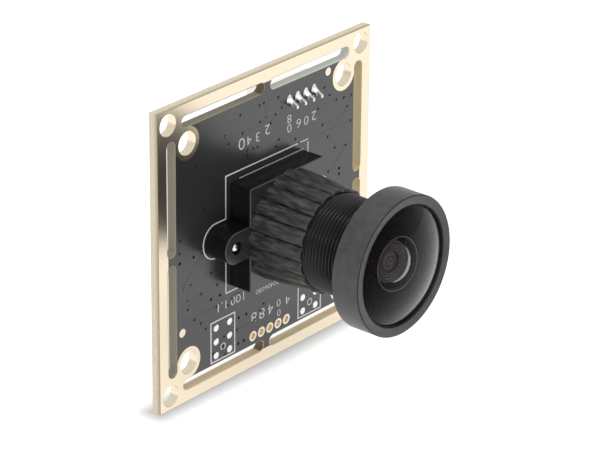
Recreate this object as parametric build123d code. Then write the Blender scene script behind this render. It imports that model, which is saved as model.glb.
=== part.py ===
from build123d import *
from math import cos, radians, sin, sqrt
import os

# Board camera: a square circuit board with a snap-off rim, a ribbed plastic lens holder
# and a wide-angle screw lens that turns in the holder to focus.
# The board stands upright in the XZ plane with the middle of its rear face at the origin.
# The lens looks along -Y, the parts of the rear face stand out along +Y, and +Z is up.
# All sizes are in millimetres. A "height" is a distance in front of the board's front face,
# and a "depth" is a distance behind its rear face.

os.makedirs("parts", exist_ok=True)

# Circuit board
core_side = 32.0
board_thickness = 1.2
rim_slot_width = 1.5
rim_rail_width = 1.5
rim_slot_inset = 1.0
tab_width = 1.0
rim_hole_inset = 1.8
rim_hole_diameter = 2.8
core_hole_inset = 2.0
core_hole_diameter = 3.0
ring_hole_count = 5
ring_hole_pitch = 1.54
ring_hole_diameter = 0.8
ring_row_x = 0.6
ring_row_inset = 1.1

# Lens holder
base_side = 13.3
base_height = 3.2
base_corner = 0.25
ear_pitch = 18.0
ear_radius = 2.0
cavity_side = 10.6
cavity_height = 2.4
shelf_thickness = 1.2
shelf_window = 7.4
barrel_height = 10.6
barrel_rear_radius = 6.95
barrel_front_radius = 6.45
rib_count = 20
rib_turn = 15.0
groove_depth_rear = 0.42
groove_depth_front = 0.32
mouth_chamfer = 0.15

# Holder screws
screw_diameter = 1.6
screw_head_diameter = 3.0
screw_head_depth = 1.0
screw_tip_recess = 0.05
screw_tip_diameter = 0.7
screw_tip_taper = 0.5
screw_clearance = 0.05

# Sensor and filter
sensor_width = 9.0
sensor_length = 8.2
sensor_height = 0.9
sensor_lead = 0.5
cover_glass_margin = 0.7
cover_glass_thickness = 0.4
filter_side = 8.6
filter_thickness = 0.3

# Lens thread and tube
thread_diameter = 12.0
thread_pitch = 0.5
thread_clearance = 0.05
rear_bore_radius = 4.5
shoulder_thickness = 0.8
shoulder_window = 3.8
front_bore_radius = 5.2

# Lens head
head_rear_height = 17.0
head_chamfer = 0.2
head_wall = 0.63
head_floor = 1.3
cup_wall = 0.5
lip_thickness = 0.25
lip_flare = 0.15
lip_overlap = 0.12
rim_rise = 0.15

# Glass
glass_clearance = 0.02
front_glass_radius = 7.45
front_glass_edge = 2.2
front_glass_curve = 14.0
front_glass_land = 0.16
front_glass_hollow = 2.8
front_glass_hollow_depth = 2.0
second_glass_edge = 1.4
second_glass_rise = 1.7
second_glass_clear = 4.6
second_glass_hollow_curve = 4.3
second_glass_hollow = 3.6
baffle_length = 2.7
baffle_window = 1.6
baffle_web = 0.25
baffle_gap = 0.1
baffle_steps = 3
rear_retainer_thickness = 0.8
rear_retainer_recess = 0.2
spacer_length = 1.5
stop_collar_length = 1.5
retainer_window = 3.5
rear_glass_edge = 1.4
rear_glass_curve = 9.5
relay_glass_edge = 1.4
relay_glass_curve = 8.5
third_glass_edge = 1.2
third_glass_curve = 10.0
stop_radius = 1.3
stop_thickness = 0.35
glass_clear = 3.4

# Cable header
header_pin_count = 4
header_pin_pitch = 1.5
header_x = 6.25
header_inset = 2.3
header_end = 1.5
header_width = 3.5
header_depth = 4.2
header_wall = 0.45
header_floor = 1.0
header_key_width = 0.8
pin_side = 0.5
pin_hole_diameter = 0.8
pin_tip_side = 0.34
pin_tail_height = 1.3
pin_tail_drop = 0.5
pin_top_depth = 3.4

# Solder
joint_width = 1.0
joint_length = 1.6
joint_tip_width = 0.8
joint_tip_length = 1.0
joint_height = 0.6
pad_diameter = 0.95
pad_top_diameter = 0.6
pad_height = 0.12
pad_group_x = 7.95
pad_column_offset = 1.2
pad_row_inset = 1.05
pad_row_pitch = 1.82
pad_row_count = 3

# Parts on the rear face
processor_side = 8.0
processor_depth = 0.9
processor_x = 0.0
processor_z = 2.2
memory_length = 4.9
memory_width = 3.9
memory_depth = 1.5
memory_x = -8.6
memory_z = -7.6
memory_lead_count = 4
memory_lead_pitch = 1.27
memory_lead_width = 0.4
memory_lead_reach = 1.05
memory_lead_thickness = 0.2
crystal_length = 3.2
crystal_width = 2.5
crystal_depth = 0.75
crystal_x = 7.4
crystal_z = 5.6
regulator_length = 2.9
regulator_width = 1.6
regulator_depth = 1.1
regulator_spots = ((-9.6, 8.2), (-9.6, 12.4))
inductor_side = 3.0
inductor_depth = 1.5
inductor_x = 9.4
inductor_z = -7.4
capacitor_length = 1.6
capacitor_width = 0.8
capacitor_depth = 0.8
capacitor_spots = ((-5.6, 5.2), (-5.6, 2.4), (-5.6, -0.4), (5.6, -0.6), (-1.4, 8.0), (1.6, 8.0),
                   (-2.6, -4.2), (0.2, -4.2), (3.0, -4.2), (9.4, -4.2), (9.4, -10.4), (-13.6, 8.2))
resistor_length = 1.0
resistor_width = 0.5
resistor_depth = 0.35
resistor_spots = ((4.6, 10.2), (6.6, 10.2), (8.6, 10.2), (-3.2, -6.2), (-1.4, -6.2), (0.4, -6.2),
                  (2.2, -6.2), (4.0, -6.2), (11.6, 5.6), (11.6, 4.2), (-4.2, -11.8), (-2.4, -11.8),
                  (-4.6, 12.0), (-4.6, 10.6))
diode_length = 2.0
diode_width = 1.25
diode_depth = 0.9
diode_spots = ((0.2, 13.6), (0.2, 11.4))

# Sizes that follow from the ones above
core_half = core_side / 2
board_side = core_side + 2 * (rim_slot_width + rim_rail_width)
rim_slot_reach = core_half - rim_slot_inset
rim_hole_pitch = board_side - 2 * rim_hole_inset
core_hole_pitch = core_side - 2 * core_hole_inset
ring_row_z = ring_row_inset - core_half
header_z = core_half - header_inset
ear_x = ear_pitch / 2
tube_radius = (thread_diameter - 0.65 * thread_pitch) / 2
bore_radius = tube_radius + thread_clearance
screw_tip_height = base_height - screw_tip_recess
cup_radius = front_glass_radius + glass_clearance + cup_wall
head_radius = cup_radius + head_wall
cup_floor_height = head_rear_height + head_floor
lip_height = cup_floor_height + front_glass_edge
head_front_height = lip_height + lip_thickness
rim_height = head_front_height + rim_rise
second_glass_front = cup_floor_height - baffle_length
shoulder_front = second_glass_front - second_glass_edge
rear_bore_shoulder = shoulder_front - shoulder_thickness
baffle_rear = second_glass_front + second_glass_rise + baffle_gap
third_glass_height = rear_bore_shoulder - third_glass_edge
relay_glass_front = third_glass_height - stop_collar_length
relay_glass_height = relay_glass_front - relay_glass_edge
spacer_start = relay_glass_height - spacer_length
rear_glass_height = spacer_start - rear_glass_edge
rear_retainer_height = rear_glass_height - rear_retainer_thickness
tube_rear_height = rear_retainer_height - rear_retainer_recess
stop_window_height = third_glass_height - stop_thickness
lens_axis = Axis((0, 0, 0), (0, 1, 0))


def front_plane(height=0.0):
    """Plane parallel to the board at a height in front of it: X stays X, its Y is up."""
    return Plane(origin=(0, -board_thickness - height, 0), x_dir=(1, 0, 0), z_dir=(0, -1, 0))


def rear_plane(depth=0.0):
    """Plane parallel to the board at a depth behind it: X stays X, its Y is up."""
    return Plane(origin=(0, depth, 0), x_dir=(1, 0, 0), z_dir=(0, -1, 0))


def front_prism(sketch, start, end):
    """Solid between two heights in front of the board."""
    return extrude(front_plane(start) * sketch, end - start)


def rear_prism(sketch, start, end):
    """Solid between two depths behind the board."""
    return extrude(rear_plane(start) * sketch, start - end)


def turned(*edges):
    """Solid of revolution about the lens axis, from edges drawn as (radius, height)."""
    plane = Plane(origin=(0, -board_thickness, 0), x_dir=(1, 0, 0), z_dir=(0, 0, -1))
    return revolve(plane * make_face(edges), lens_axis)


def turned_profile(*points):
    """Solid of revolution about the lens axis, from a closed outline of (radius, height)."""
    return turned(Polyline(*points, close=True))


def sag(curve, half_width):
    """Height of a spherical cap of the given radius of curvature over a half width."""
    return curve - sqrt(curve ** 2 - half_width ** 2)


def curve_of(rise, half_width):
    """Radius of curvature of a spherical cap that rises by that much over a half width."""
    return (rise ** 2 + half_width ** 2) / (2 * rise)


def dome(curve, half_width, edge_height, bulge):
    """Arc from the axis to the edge of a spherical face that rises along bulge (1 or -1)."""
    apex = edge_height + bulge * sag(curve, half_width)
    middle = apex - bulge * sag(curve, half_width / 2)
    arc = ThreePointArc((0, apex), (half_width / 2, middle), (half_width, edge_height))
    return arc, apex


def glass(radius, rear_edge, front_edge, rear_face, front_face):
    """Lens element between two edge heights.

    Each face is (radius of curvature, clear half width, bulge), with a flat land outside the
    clear width. The bulge is -1 towards the board and 1 towards the front.
    """
    rear_curve, rear_clear, rear_bulge = rear_face
    front_curve, front_clear, front_bulge = front_face
    rear_arc, rear_apex = dome(rear_curve, rear_clear, rear_edge, rear_bulge)
    front_arc, front_apex = dome(front_curve, front_clear, front_edge, front_bulge)
    rim = Polyline((rear_clear, rear_edge), (radius, rear_edge), (radius, front_edge), (front_clear, front_edge))
    return turned(rear_arc, rim, front_arc, Line((0, front_apex), (0, rear_apex)))


def save(name, shape):
    """Write one node, a solid or a group of equal solids."""
    export_step(shape, f"parts/{name}.step")


def square_points(pitch):
    """Corners of a square of the given pitch."""
    half = pitch / 2
    return [(-half, -half), (half, -half), (half, half), (-half, half)]


def circuit_board():
    """Square board whose rim is held by four corner bridges and a tab in the middle of each side."""
    outline = Rectangle(board_side, board_side)
    slot_middle = (core_side + rim_slot_width) / 2
    slot_length = rim_slot_reach - tab_width / 2
    slot_along = (rim_slot_reach + tab_width / 2) / 2
    slot = SlotOverall(slot_length, rim_slot_width)
    for turn in range(4):
        for side in (-1, 1):
            outline -= Rot(0, 0, 90 * turn) * Pos(side * slot_along, slot_middle) * slot
    outline -= [Pos(x, z) * Circle(rim_hole_diameter / 2) for x, z in square_points(rim_hole_pitch)]
    outline -= [Pos(x, z) * Circle(core_hole_diameter / 2) for x, z in square_points(core_hole_pitch)]
    outline -= [Pos(x, ring_row_z) * Circle(ring_hole_diameter / 2) for x in ring_row()]
    outline -= [Pos(x, header_z) * Circle(pin_hole_diameter / 2) for x in header_row()]
    outline -= [Pos(x, 0) * Circle(screw_diameter / 2 + screw_clearance) for x in (-ear_x, ear_x)]
    return extrude(rear_plane() * outline, board_thickness)


def ring_row():
    """X of each plated test hole at the lower edge."""
    first = ring_row_x - ring_hole_pitch * (ring_hole_count - 1) / 2
    return [first + ring_hole_pitch * index for index in range(ring_hole_count)]


def header_row():
    """X of each header pin."""
    first = header_x - header_pin_pitch * (header_pin_count - 1) / 2
    return [first + header_pin_pitch * index for index in range(header_pin_count)]


def ribbed_section(crest_radius, groove_depth):
    """Ring of convex ribs: one arc from groove to groove over each crest."""
    half_pitch = radians(180 / rib_count)
    groove_radius = crest_radius - groove_depth
    arcs = []
    for index in range(rib_count):
        crest = radians(rib_turn) + 2 * half_pitch * index
        start, end = crest - half_pitch, crest + half_pitch
        arcs.append(ThreePointArc((groove_radius * cos(start), groove_radius * sin(start)),
                                  (crest_radius * cos(crest), crest_radius * sin(crest)),
                                  (groove_radius * cos(end), groove_radius * sin(end))))
    return make_face(arcs)


def lens_holder():
    """Moulded holder: square base with two ears, and a ribbed barrel bored for the lens."""
    base = front_prism(Rectangle(base_side, base_side), 0, base_height)
    base = fillet(base.edges().filter_by(Axis.Y), base_corner)
    ears = front_prism(SlotCenterToCenter(ear_pitch, 2 * ear_radius), 0, base_height)
    rear_section = front_plane(base_height) * ribbed_section(barrel_rear_radius, groove_depth_rear)
    front_section = front_plane(barrel_height) * ribbed_section(barrel_front_radius, groove_depth_front)
    barrel = loft([rear_section, front_section], ruled=True)
    bore_floor = cavity_height + shelf_thickness
    body = base + ears + barrel
    body -= front_prism(Rectangle(cavity_side, cavity_side), 0, cavity_height)
    body -= front_prism(Circle(shelf_window / 2), cavity_height, bore_floor)
    body -= front_prism(Circle(bore_radius), bore_floor, barrel_height)
    body -= turned_profile((0, barrel_height - mouth_chamfer), (bore_radius, barrel_height - mouth_chamfer),
                           (bore_radius + mouth_chamfer, barrel_height), (0, barrel_height))
    ear_hole = Circle(screw_diameter / 2)
    body -= front_prism(Pos(-ear_x, 0) * ear_hole, 0, base_height)
    body -= front_prism(Pos(ear_x, 0) * ear_hole, 0, base_height)
    return body


def holder_screws():
    """Two screws from the rear of the board into the ears, their tips showing in the ear holes."""
    screws = []
    taper_start = screw_tip_height - screw_tip_taper
    for x in (-ear_x, ear_x):
        head = rear_prism(Pos(x, 0) * Circle(screw_head_diameter / 2), 0, screw_head_depth)
        head = chamfer(head.faces().sort_by(Axis.Y)[-1].edges(), screw_head_depth / 4)
        shank = front_prism(Pos(x, 0) * Circle(screw_diameter / 2), -board_thickness, taper_start)
        wide = front_plane(taper_start) * Pos(x, 0) * Circle(screw_diameter / 2)
        narrow = front_plane(screw_tip_height) * Pos(x, 0) * Circle(screw_tip_diameter / 2)
        screws.append(head + shank + loft([wide, narrow]))
    return Compound(children=screws)


def sensor_package():
    """Sensor package with a shallow well for its chip, and its leads along two sides."""
    body = front_prism(Rectangle(sensor_width, sensor_length), 0, sensor_height)
    well = Rectangle(sensor_width - 4 * cover_glass_margin, sensor_length - 4 * cover_glass_margin)
    body -= front_prism(well, sensor_height / 2, sensor_height)
    lead = Rectangle(sensor_lead, sensor_lead)
    for side in (-1, 1):
        for index in range(-3, 4):
            spot = Pos(2 * sensor_lead * index, side * sensor_length / 2) * lead
            body -= front_prism(spot, 0, sensor_height / 3)
    return body


def lens_tube():
    """Turned tube with the focusing thread outside, the glass seats inside and the head cup in front."""
    return turned_profile(
        (rear_bore_radius, tube_rear_height),
        (tube_radius, tube_rear_height),
        (tube_radius, head_rear_height),
        (cup_radius, head_rear_height),
        (cup_radius, lip_height),
        (front_glass_radius + glass_clearance, lip_height),
        (front_glass_radius + glass_clearance, cup_floor_height),
        (front_bore_radius, cup_floor_height),
        (front_bore_radius, shoulder_front),
        (shoulder_window, shoulder_front),
        (shoulder_window, rear_bore_shoulder),
        (rear_bore_radius, rear_bore_shoulder),
    )


def head_ring():
    """Cap ring round the head cup, its face dished to the lip that holds the front glass."""
    inner = cup_radius + glass_clearance
    lip_inner = front_glass_radius - lip_overlap
    return turned_profile(
        (inner, head_rear_height),
        (head_radius - head_chamfer, head_rear_height),
        (head_radius, head_rear_height + head_chamfer),
        (head_radius, rim_height - head_chamfer),
        (head_radius - head_chamfer, rim_height),
        (lip_inner + lip_flare, head_front_height),
        (lip_inner, lip_height),
        (inner, lip_height),
    )


def aperture_stop():
    """Thin stop with a small window, on a collar that spaces the relay glass from it."""
    outer = rear_bore_radius - glass_clearance
    return turned_profile(
        (glass_clear, relay_glass_front),
        (outer, relay_glass_front),
        (outer, third_glass_height),
        (stop_radius, third_glass_height),
        (stop_radius, stop_window_height),
        (glass_clear, stop_window_height),
    )


def stepped_baffle():
    """Cell between the front and second glass, its mouth stepping down to a small window."""
    outer = front_bore_radius - glass_clearance
    mouth = front_glass_hollow + glass_clearance
    tread = (mouth - baffle_window) / baffle_steps
    riser = (cup_floor_height - baffle_rear - baffle_web) / baffle_steps
    steps = [(mouth, cup_floor_height)]
    for index in range(baffle_steps):
        level = cup_floor_height - riser * (index + 1)
        steps += [(mouth - tread * index, level), (mouth - tread * (index + 1), level)]
    return turned_profile(
        (second_glass_clear, second_glass_front),
        (outer, second_glass_front),
        (outer, cup_floor_height),
        *steps,
        (baffle_window, baffle_rear),
        (second_glass_clear, baffle_rear),
    )


def ring(inner, outer, start, end):
    """Plain turned ring between two heights."""
    return turned_profile((inner, start), (outer, start), (outer, end), (inner, end))


def header_housing():
    """Open shroud round the header pins, with two key slots in one long wall."""
    length = header_pin_pitch * (header_pin_count - 1) + 2 * header_end
    outside = Pos(header_x, header_z) * Rectangle(length, header_width)
    inside = Pos(header_x, header_z) * Rectangle(length - 2 * header_wall, header_width - 2 * header_wall)
    body = rear_prism(outside, 0, header_depth)
    body -= rear_prism(inside, header_floor, header_depth)
    key_z = header_z - (header_width - header_wall) / 2
    for side in (-1, 1):
        key = Pos(header_x + side * header_pin_pitch, key_z) * Rectangle(header_key_width, header_wall)
        body -= rear_prism(key, header_floor, header_depth)
    for x in header_row():
        body -= rear_prism(Pos(x, header_z) * Rectangle(pin_side, pin_side), 0, header_floor)
    return body


def pin_tail():
    """Tail of a header pin: straight through the board, then clinched down and flattened in front."""
    section = Rectangle(pin_side, pin_side)
    foot = front_plane() * section
    tip = front_plane(pin_tail_height) * Pos(0, -pin_tail_drop) * Rectangle(pin_tip_side, pin_tip_side)
    return front_prism(section, -board_thickness, 0) + loft([foot, tip])


def header_pins():
    """Square pins from their soldered tails in front of the board to their tips in the shroud."""
    post = rear_prism(Rectangle(pin_side, pin_side), 0, pin_top_depth)
    post = chamfer(post.faces().sort_by(Axis.Y)[-1].edges(), pin_side / 4)
    pin = pin_tail() + post
    return Compound(children=[Pos(x, 0, header_z) * pin for x in header_row()])


def solder_joints():
    """Solder that fills each pin hole and rises from an oval pad round the pin's tail."""
    plug = front_prism(Circle(pin_hole_diameter / 2), -board_thickness, 0)
    drop = pin_tail_drop * joint_height / pin_tail_height
    foot = front_plane() * Ellipse(joint_width / 2, joint_length / 2)
    top = front_plane(joint_height) * Pos(0, -drop) * Ellipse(joint_tip_width / 2, joint_tip_length / 2)
    joint = plug + loft([foot, top]) - pin_tail()
    return Compound(children=[Pos(x, 0, header_z) * joint for x in header_row()])


def solder_pads():
    """Low flat-topped cones of solder on the two groups of six spare pads."""
    foot = front_plane() * Circle(pad_diameter / 2)
    top = front_plane(pad_height) * Circle(pad_top_diameter / 2)
    pad = loft([foot, top])
    pads = []
    for group in (-1, 1):
        for column in (-1, 1):
            for row in range(pad_row_count):
                x = group * pad_group_x + column * pad_column_offset
                z = pad_row_inset + pad_row_pitch * row - core_half
                pads.append(Pos(x, 0, z) * pad)
    return Compound(children=pads)


def flash_memory():
    """Memory chip with a row of bent leads on each long side."""
    body = rear_prism(Pos(memory_x, memory_z) * Rectangle(memory_length, memory_width),
                      memory_lead_thickness / 2, memory_depth)
    middle = memory_depth / 2
    step = memory_lead_reach / 2
    first = memory_x - memory_lead_pitch * (memory_lead_count - 1) / 2
    for side in (-1, 1):
        edge = memory_z + side * memory_width / 2
        for index in range(memory_lead_count):
            x = first + memory_lead_pitch * index
            shoulder = Pos(x, edge + side * step / 2) * Rectangle(memory_lead_width, step)
            drop = Pos(x, edge + side * (step - memory_lead_thickness / 2)) * Rectangle(
                memory_lead_width, memory_lead_thickness)
            foot = Pos(x, edge + side * (step + memory_lead_reach) / 2) * Rectangle(memory_lead_width, step)
            body += rear_prism(shoulder, middle - memory_lead_thickness, middle)
            body += rear_prism(drop, 0, middle)
            body += rear_prism(foot, 0, memory_lead_thickness)
    return body


def rear_blocks(spots, length, width, depth):
    """Small rectangular parts lying on the rear face, one at each spot."""
    return Compound(children=[
        rear_prism(Pos(x, z) * Rectangle(length, width), 0, depth) for x, z in spots
    ])


def lidded_block(x, z, length, width, depth, edge):
    """Rectangular part on the rear face with its outer edges chamfered."""
    body = rear_prism(Pos(x, z) * Rectangle(length, width), 0, depth)
    return chamfer(body.faces().sort_by(Axis.Y)[-1].edges(), edge)


def voltage_regulators():
    """Small regulators with two leads on one side and three on the other."""
    parts = []
    for x, z in regulator_spots:
        body = rear_prism(Pos(x, z) * Rectangle(regulator_length, regulator_width), 0.1, regulator_depth)
        for side, places in ((-1, (-1, 0, 1)), (1, (-1, 1))):
            for place in places:
                lead = Pos(x + 0.95 * place, z + side * regulator_width / 2) * Rectangle(0.4, 1.2)
                body += rear_prism(lead, 0, 0.2)
        parts.append(body)
    return Compound(children=parts)


inner_glass_radius = rear_bore_radius - glass_clearance
filter_front = cavity_height

save("circuit_board", circuit_board())
save("lens_holder", lens_holder())
save("holder_screws", holder_screws())
save("image_sensor", sensor_package())
save("sensor_cover_glass", front_prism(
    Rectangle(sensor_width - 2 * cover_glass_margin, sensor_length - 2 * cover_glass_margin),
    sensor_height, sensor_height + cover_glass_thickness))
save("infrared_filter", front_prism(
    Rectangle(filter_side, filter_side), filter_front - filter_thickness, filter_front))

save("lens_barrel", lens_tube())
save("head_ring", head_ring())
save("front_glass", glass(
    front_glass_radius, cup_floor_height, lip_height,
    (curve_of(front_glass_hollow_depth, front_glass_hollow), front_glass_hollow, 1),
    (front_glass_curve, front_glass_radius - front_glass_land, 1)))
save("second_glass", glass(
    front_bore_radius - glass_clearance, shoulder_front, second_glass_front,
    (second_glass_hollow_curve, second_glass_hollow, 1),
    (curve_of(second_glass_rise, second_glass_clear), second_glass_clear, 1)))
save("stepped_baffle", stepped_baffle())
save("third_glass", glass(
    inner_glass_radius, third_glass_height, rear_bore_shoulder,
    (third_glass_curve * 3, glass_clear, 1),
    (third_glass_curve, glass_clear, 1)))
save("aperture_stop", aperture_stop())
save("relay_glass", glass(
    inner_glass_radius, relay_glass_height, relay_glass_front,
    (relay_glass_curve, glass_clear, -1),
    (relay_glass_curve, glass_clear, 1)))
save("spacer_ring", ring(glass_clear, inner_glass_radius, spacer_start, relay_glass_height))
save("rear_glass", glass(
    inner_glass_radius, rear_glass_height, spacer_start,
    (rear_glass_curve, glass_clear, -1),
    (rear_glass_curve, glass_clear, 1)))
save("rear_retainer", ring(
    retainer_window, inner_glass_radius, rear_retainer_height, rear_glass_height))

save("header_housing", header_housing())
save("header_pins", header_pins())
save("solder_joints", solder_joints())
save("solder_pads", solder_pads())
save("video_processor", lidded_block(
    processor_x, processor_z, processor_side, processor_side, processor_depth, 0.1))
save("flash_memory", flash_memory())
save("crystal", lidded_block(crystal_x, crystal_z, crystal_length, crystal_width, crystal_depth, 0.15))
save("voltage_regulators", voltage_regulators())
save("inductor", lidded_block(
    inductor_x, inductor_z, inductor_side, inductor_side, inductor_depth, 0.2))
save("capacitors", rear_blocks(capacitor_spots, capacitor_length, capacitor_width, capacitor_depth))
save("resistors", rear_blocks(resistor_spots, resistor_length, resistor_width, resistor_depth))
save("diodes", rear_blocks(diode_spots, diode_length, diode_width, diode_depth))
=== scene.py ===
"""Board camera module, dressed for a plain studio picture.

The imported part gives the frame: +Z is up, the lens looks along -Y, and the middle of the
board's rear face is the origin. A height is measured in front of the board's front face and a
depth behind its rear face. Sizes are fields in millimetres, and meshes are built in metres. Only
the lights and the floor have their sizes in metres.
"""
import logging
import math
from dataclasses import dataclass
from enum import Enum
from typing import Callable, ClassVar, Iterable, Optional, Sequence

import bmesh
import bpy
import numpy as np
from mathutils import Matrix, Vector


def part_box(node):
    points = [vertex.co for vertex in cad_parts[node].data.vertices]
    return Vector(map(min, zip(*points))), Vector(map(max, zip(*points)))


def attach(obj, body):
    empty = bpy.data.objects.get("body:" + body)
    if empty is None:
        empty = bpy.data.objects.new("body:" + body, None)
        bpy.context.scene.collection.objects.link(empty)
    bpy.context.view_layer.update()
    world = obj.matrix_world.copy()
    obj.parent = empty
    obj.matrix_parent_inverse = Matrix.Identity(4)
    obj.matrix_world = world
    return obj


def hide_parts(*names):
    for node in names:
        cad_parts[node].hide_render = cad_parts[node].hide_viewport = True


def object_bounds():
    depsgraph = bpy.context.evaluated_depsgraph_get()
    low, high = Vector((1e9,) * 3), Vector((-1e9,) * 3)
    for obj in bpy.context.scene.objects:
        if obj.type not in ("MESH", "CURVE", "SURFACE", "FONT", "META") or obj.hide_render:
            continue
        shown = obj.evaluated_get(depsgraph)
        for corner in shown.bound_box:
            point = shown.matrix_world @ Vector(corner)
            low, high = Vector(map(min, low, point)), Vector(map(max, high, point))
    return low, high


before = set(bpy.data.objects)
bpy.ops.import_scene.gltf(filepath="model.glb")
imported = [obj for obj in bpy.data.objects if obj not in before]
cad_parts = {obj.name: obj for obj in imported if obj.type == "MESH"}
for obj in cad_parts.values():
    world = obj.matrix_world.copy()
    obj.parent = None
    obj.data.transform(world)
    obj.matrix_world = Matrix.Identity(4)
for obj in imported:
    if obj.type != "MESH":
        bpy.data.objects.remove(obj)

Array = np.ndarray
Spot = tuple[float, float]
Spots = tuple[Spot, ...]
Colour = tuple[float, float, float]

MM = 0.001
FULL_TURN = 2 * math.pi
CAD_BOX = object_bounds()
log = logging.getLogger("board_camera")


class Body(Enum):
    """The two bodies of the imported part."""

    BOARD = "board"
    LENS = "lens"


class Side(Enum):
    """The two faces of the board, as the direction in Y that leads away from each."""

    FRONT = -1.0
    REAR = 1.0


class Spread(Enum):
    """What a finish's pattern changes."""

    COLOUR = "colour"
    COLOUR_AND_GLOSS = "colour and gloss"


# ---- finishes ----


def add_node(tree: bpy.types.NodeTree, kind: str, **levels: object) -> bpy.types.Node:
    """New shader node with some of its inputs set.

    Args:
        tree: node tree of the material.
        kind: the node's type, without the "ShaderNode" before it.
        levels: values by the names of the inputs, with an underscore for a space.

    Returns:
        The node.
    """
    made = tree.nodes.new("ShaderNode" + kind)
    for name, level in levels.items():
        made.inputs[name.replace("_", " ")].default_value = level
    return made


@dataclass(frozen=True)
class Pattern:
    """Cloudy pattern on Object coordinates that mixes a second colour into a finish.

    Attributes:
        scale: noise features per metre.
        second: colour where the noise is high.
        low: noise level below which the finish keeps its own colour.
        high: noise level from which the second colour is full.
        detail: octaves of the noise.
        stretch: scale of the pattern along X, Y and Z.
        gloss: change of roughness from low to high noise.
        bump: height of the relief that goes with the noise, in millimetres.
        spread: what the pattern changes.
    """

    scale: float
    second: Colour
    low: float = 0.4
    high: float = 0.65
    detail: float = 4.0
    stretch: tuple[float, float, float] = (1.0, 1.0, 1.0)
    gloss: float = 0.0
    bump: float = 0.0
    spread: Spread = Spread.COLOUR


@dataclass(frozen=True)
class Fade:
    """Colour that a finish takes on towards the front, from one object depth to another.

    Attributes:
        start: Y in millimetres where the fade begins.
        end: Y in millimetres where it is full.
        colour: colour of the full fade.
    """

    start: float
    end: float
    colour: Colour


@dataclass(frozen=True)
class Finish:
    """Surface finish made with one Principled shader.

    Attributes:
        facing: share of the usual reflection that a coated face keeps where it is seen head-on.
        glow: strength of the finish's own light.
    """

    name: str
    colour: Colour
    roughness: float = 0.5
    metallic: float = 0.0
    ior: float = 1.5
    transmission: float = 0.0
    specular: float = 0.5
    facing: float = 1.0
    glow: float = 0.0
    pattern: Optional[Pattern] = None
    fade: Optional[Fade] = None

    def material(self) -> bpy.types.Material:
        """The finish as a material, made once.

        Returns:
            The material of this name.
        """
        known = bpy.data.materials.get(self.name)
        if known is not None:
            return known
        made = bpy.data.materials.new(self.name)
        made.use_nodes = True
        shader = made.node_tree.nodes["Principled BSDF"]
        levels = {
            "Base Color": (*self.colour, 1.0),
            "Roughness": self.roughness,
            "Metallic": self.metallic,
            "IOR": self.ior,
            "Transmission Weight": self.transmission,
            "Specular IOR Level": self.specular,
            "Specular Tint": (self.facing, self.facing, self.facing, 1.0),
            "Emission Color": (1.0, 1.0, 1.0, 1.0),
            "Emission Strength": self.glow,
        }
        for name, level in levels.items():
            shader.inputs[name].default_value = level
        if self.pattern is not None:
            self._add_pattern(made.node_tree, shader, self.pattern)
        if self.fade is not None:
            self._add_fade(made.node_tree, shader, self.fade)
        return made

    def _add_pattern(self, tree: bpy.types.NodeTree, shader: bpy.types.Node, pattern: Pattern) -> None:
        """Links the noise of a pattern to the shader's colour, gloss and relief.

        Args:
            tree: node tree of the material.
            shader: its Principled shader.
            pattern: the pattern to add.
        """
        links = tree.links
        place = add_node(tree, "TexCoord")
        mapping = add_node(tree, "Mapping", Scale=pattern.stretch)
        noise = add_node(tree, "TexNoise", Scale=pattern.scale, Detail=pattern.detail)
        ramp = add_node(tree, "ValToRGB")
        first, last = ramp.color_ramp.elements
        first.position, first.color = pattern.low, (*self.colour, 1.0)
        last.position, last.color = pattern.high, (*pattern.second, 1.0)
        links.new(place.outputs["Object"], mapping.inputs["Vector"])
        links.new(mapping.outputs["Vector"], noise.inputs["Vector"])
        links.new(noise.outputs["Fac"], ramp.inputs["Fac"])
        links.new(ramp.outputs["Color"], shader.inputs["Base Color"])
        if pattern.spread is Spread.COLOUR_AND_GLOSS:
            gloss = add_node(tree, "MapRange", From_Min=pattern.low, From_Max=pattern.high,
                             To_Min=self.roughness, To_Max=self.roughness + pattern.gloss)
            links.new(noise.outputs["Fac"], gloss.inputs["Value"])
            links.new(gloss.outputs["Result"], shader.inputs["Roughness"])
        if pattern.bump:
            relief = add_node(tree, "Bump", Distance=pattern.bump * MM)
            links.new(noise.outputs["Fac"], relief.inputs["Height"])
            links.new(relief.outputs["Normal"], shader.inputs["Normal"])

    def _add_fade(self, tree: bpy.types.NodeTree, shader: bpy.types.Node, fade: Fade) -> None:
        """Mixes the fade's colour over the colour that the shader has so far.

        Args:
            tree: node tree of the material.
            shader: its Principled shader.
            fade: the fade to add.
        """
        links = tree.links
        place = add_node(tree, "TexCoord")
        split = add_node(tree, "SeparateXYZ")
        share = add_node(tree, "MapRange", From_Min=fade.start * MM, From_Max=fade.end * MM)
        mix = add_node(tree, "Mix")
        mix.data_type = "RGBA"
        # A Mix node keeps the sockets of every data type: 0 is the share, and 6 and 7 are the colours.
        under, over = mix.inputs[6], mix.inputs[7]
        under.default_value = (*self.colour, 1.0)
        over.default_value = (*fade.colour, 1.0)
        for link in list(shader.inputs["Base Color"].links):
            links.new(link.from_socket, under)
        links.new(place.outputs["Object"], split.inputs["Vector"])
        links.new(split.outputs["Y"], share.inputs["Value"])
        links.new(share.outputs["Result"], mix.inputs[0])
        links.new(mix.outputs[2], shader.inputs["Base Color"])


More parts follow.
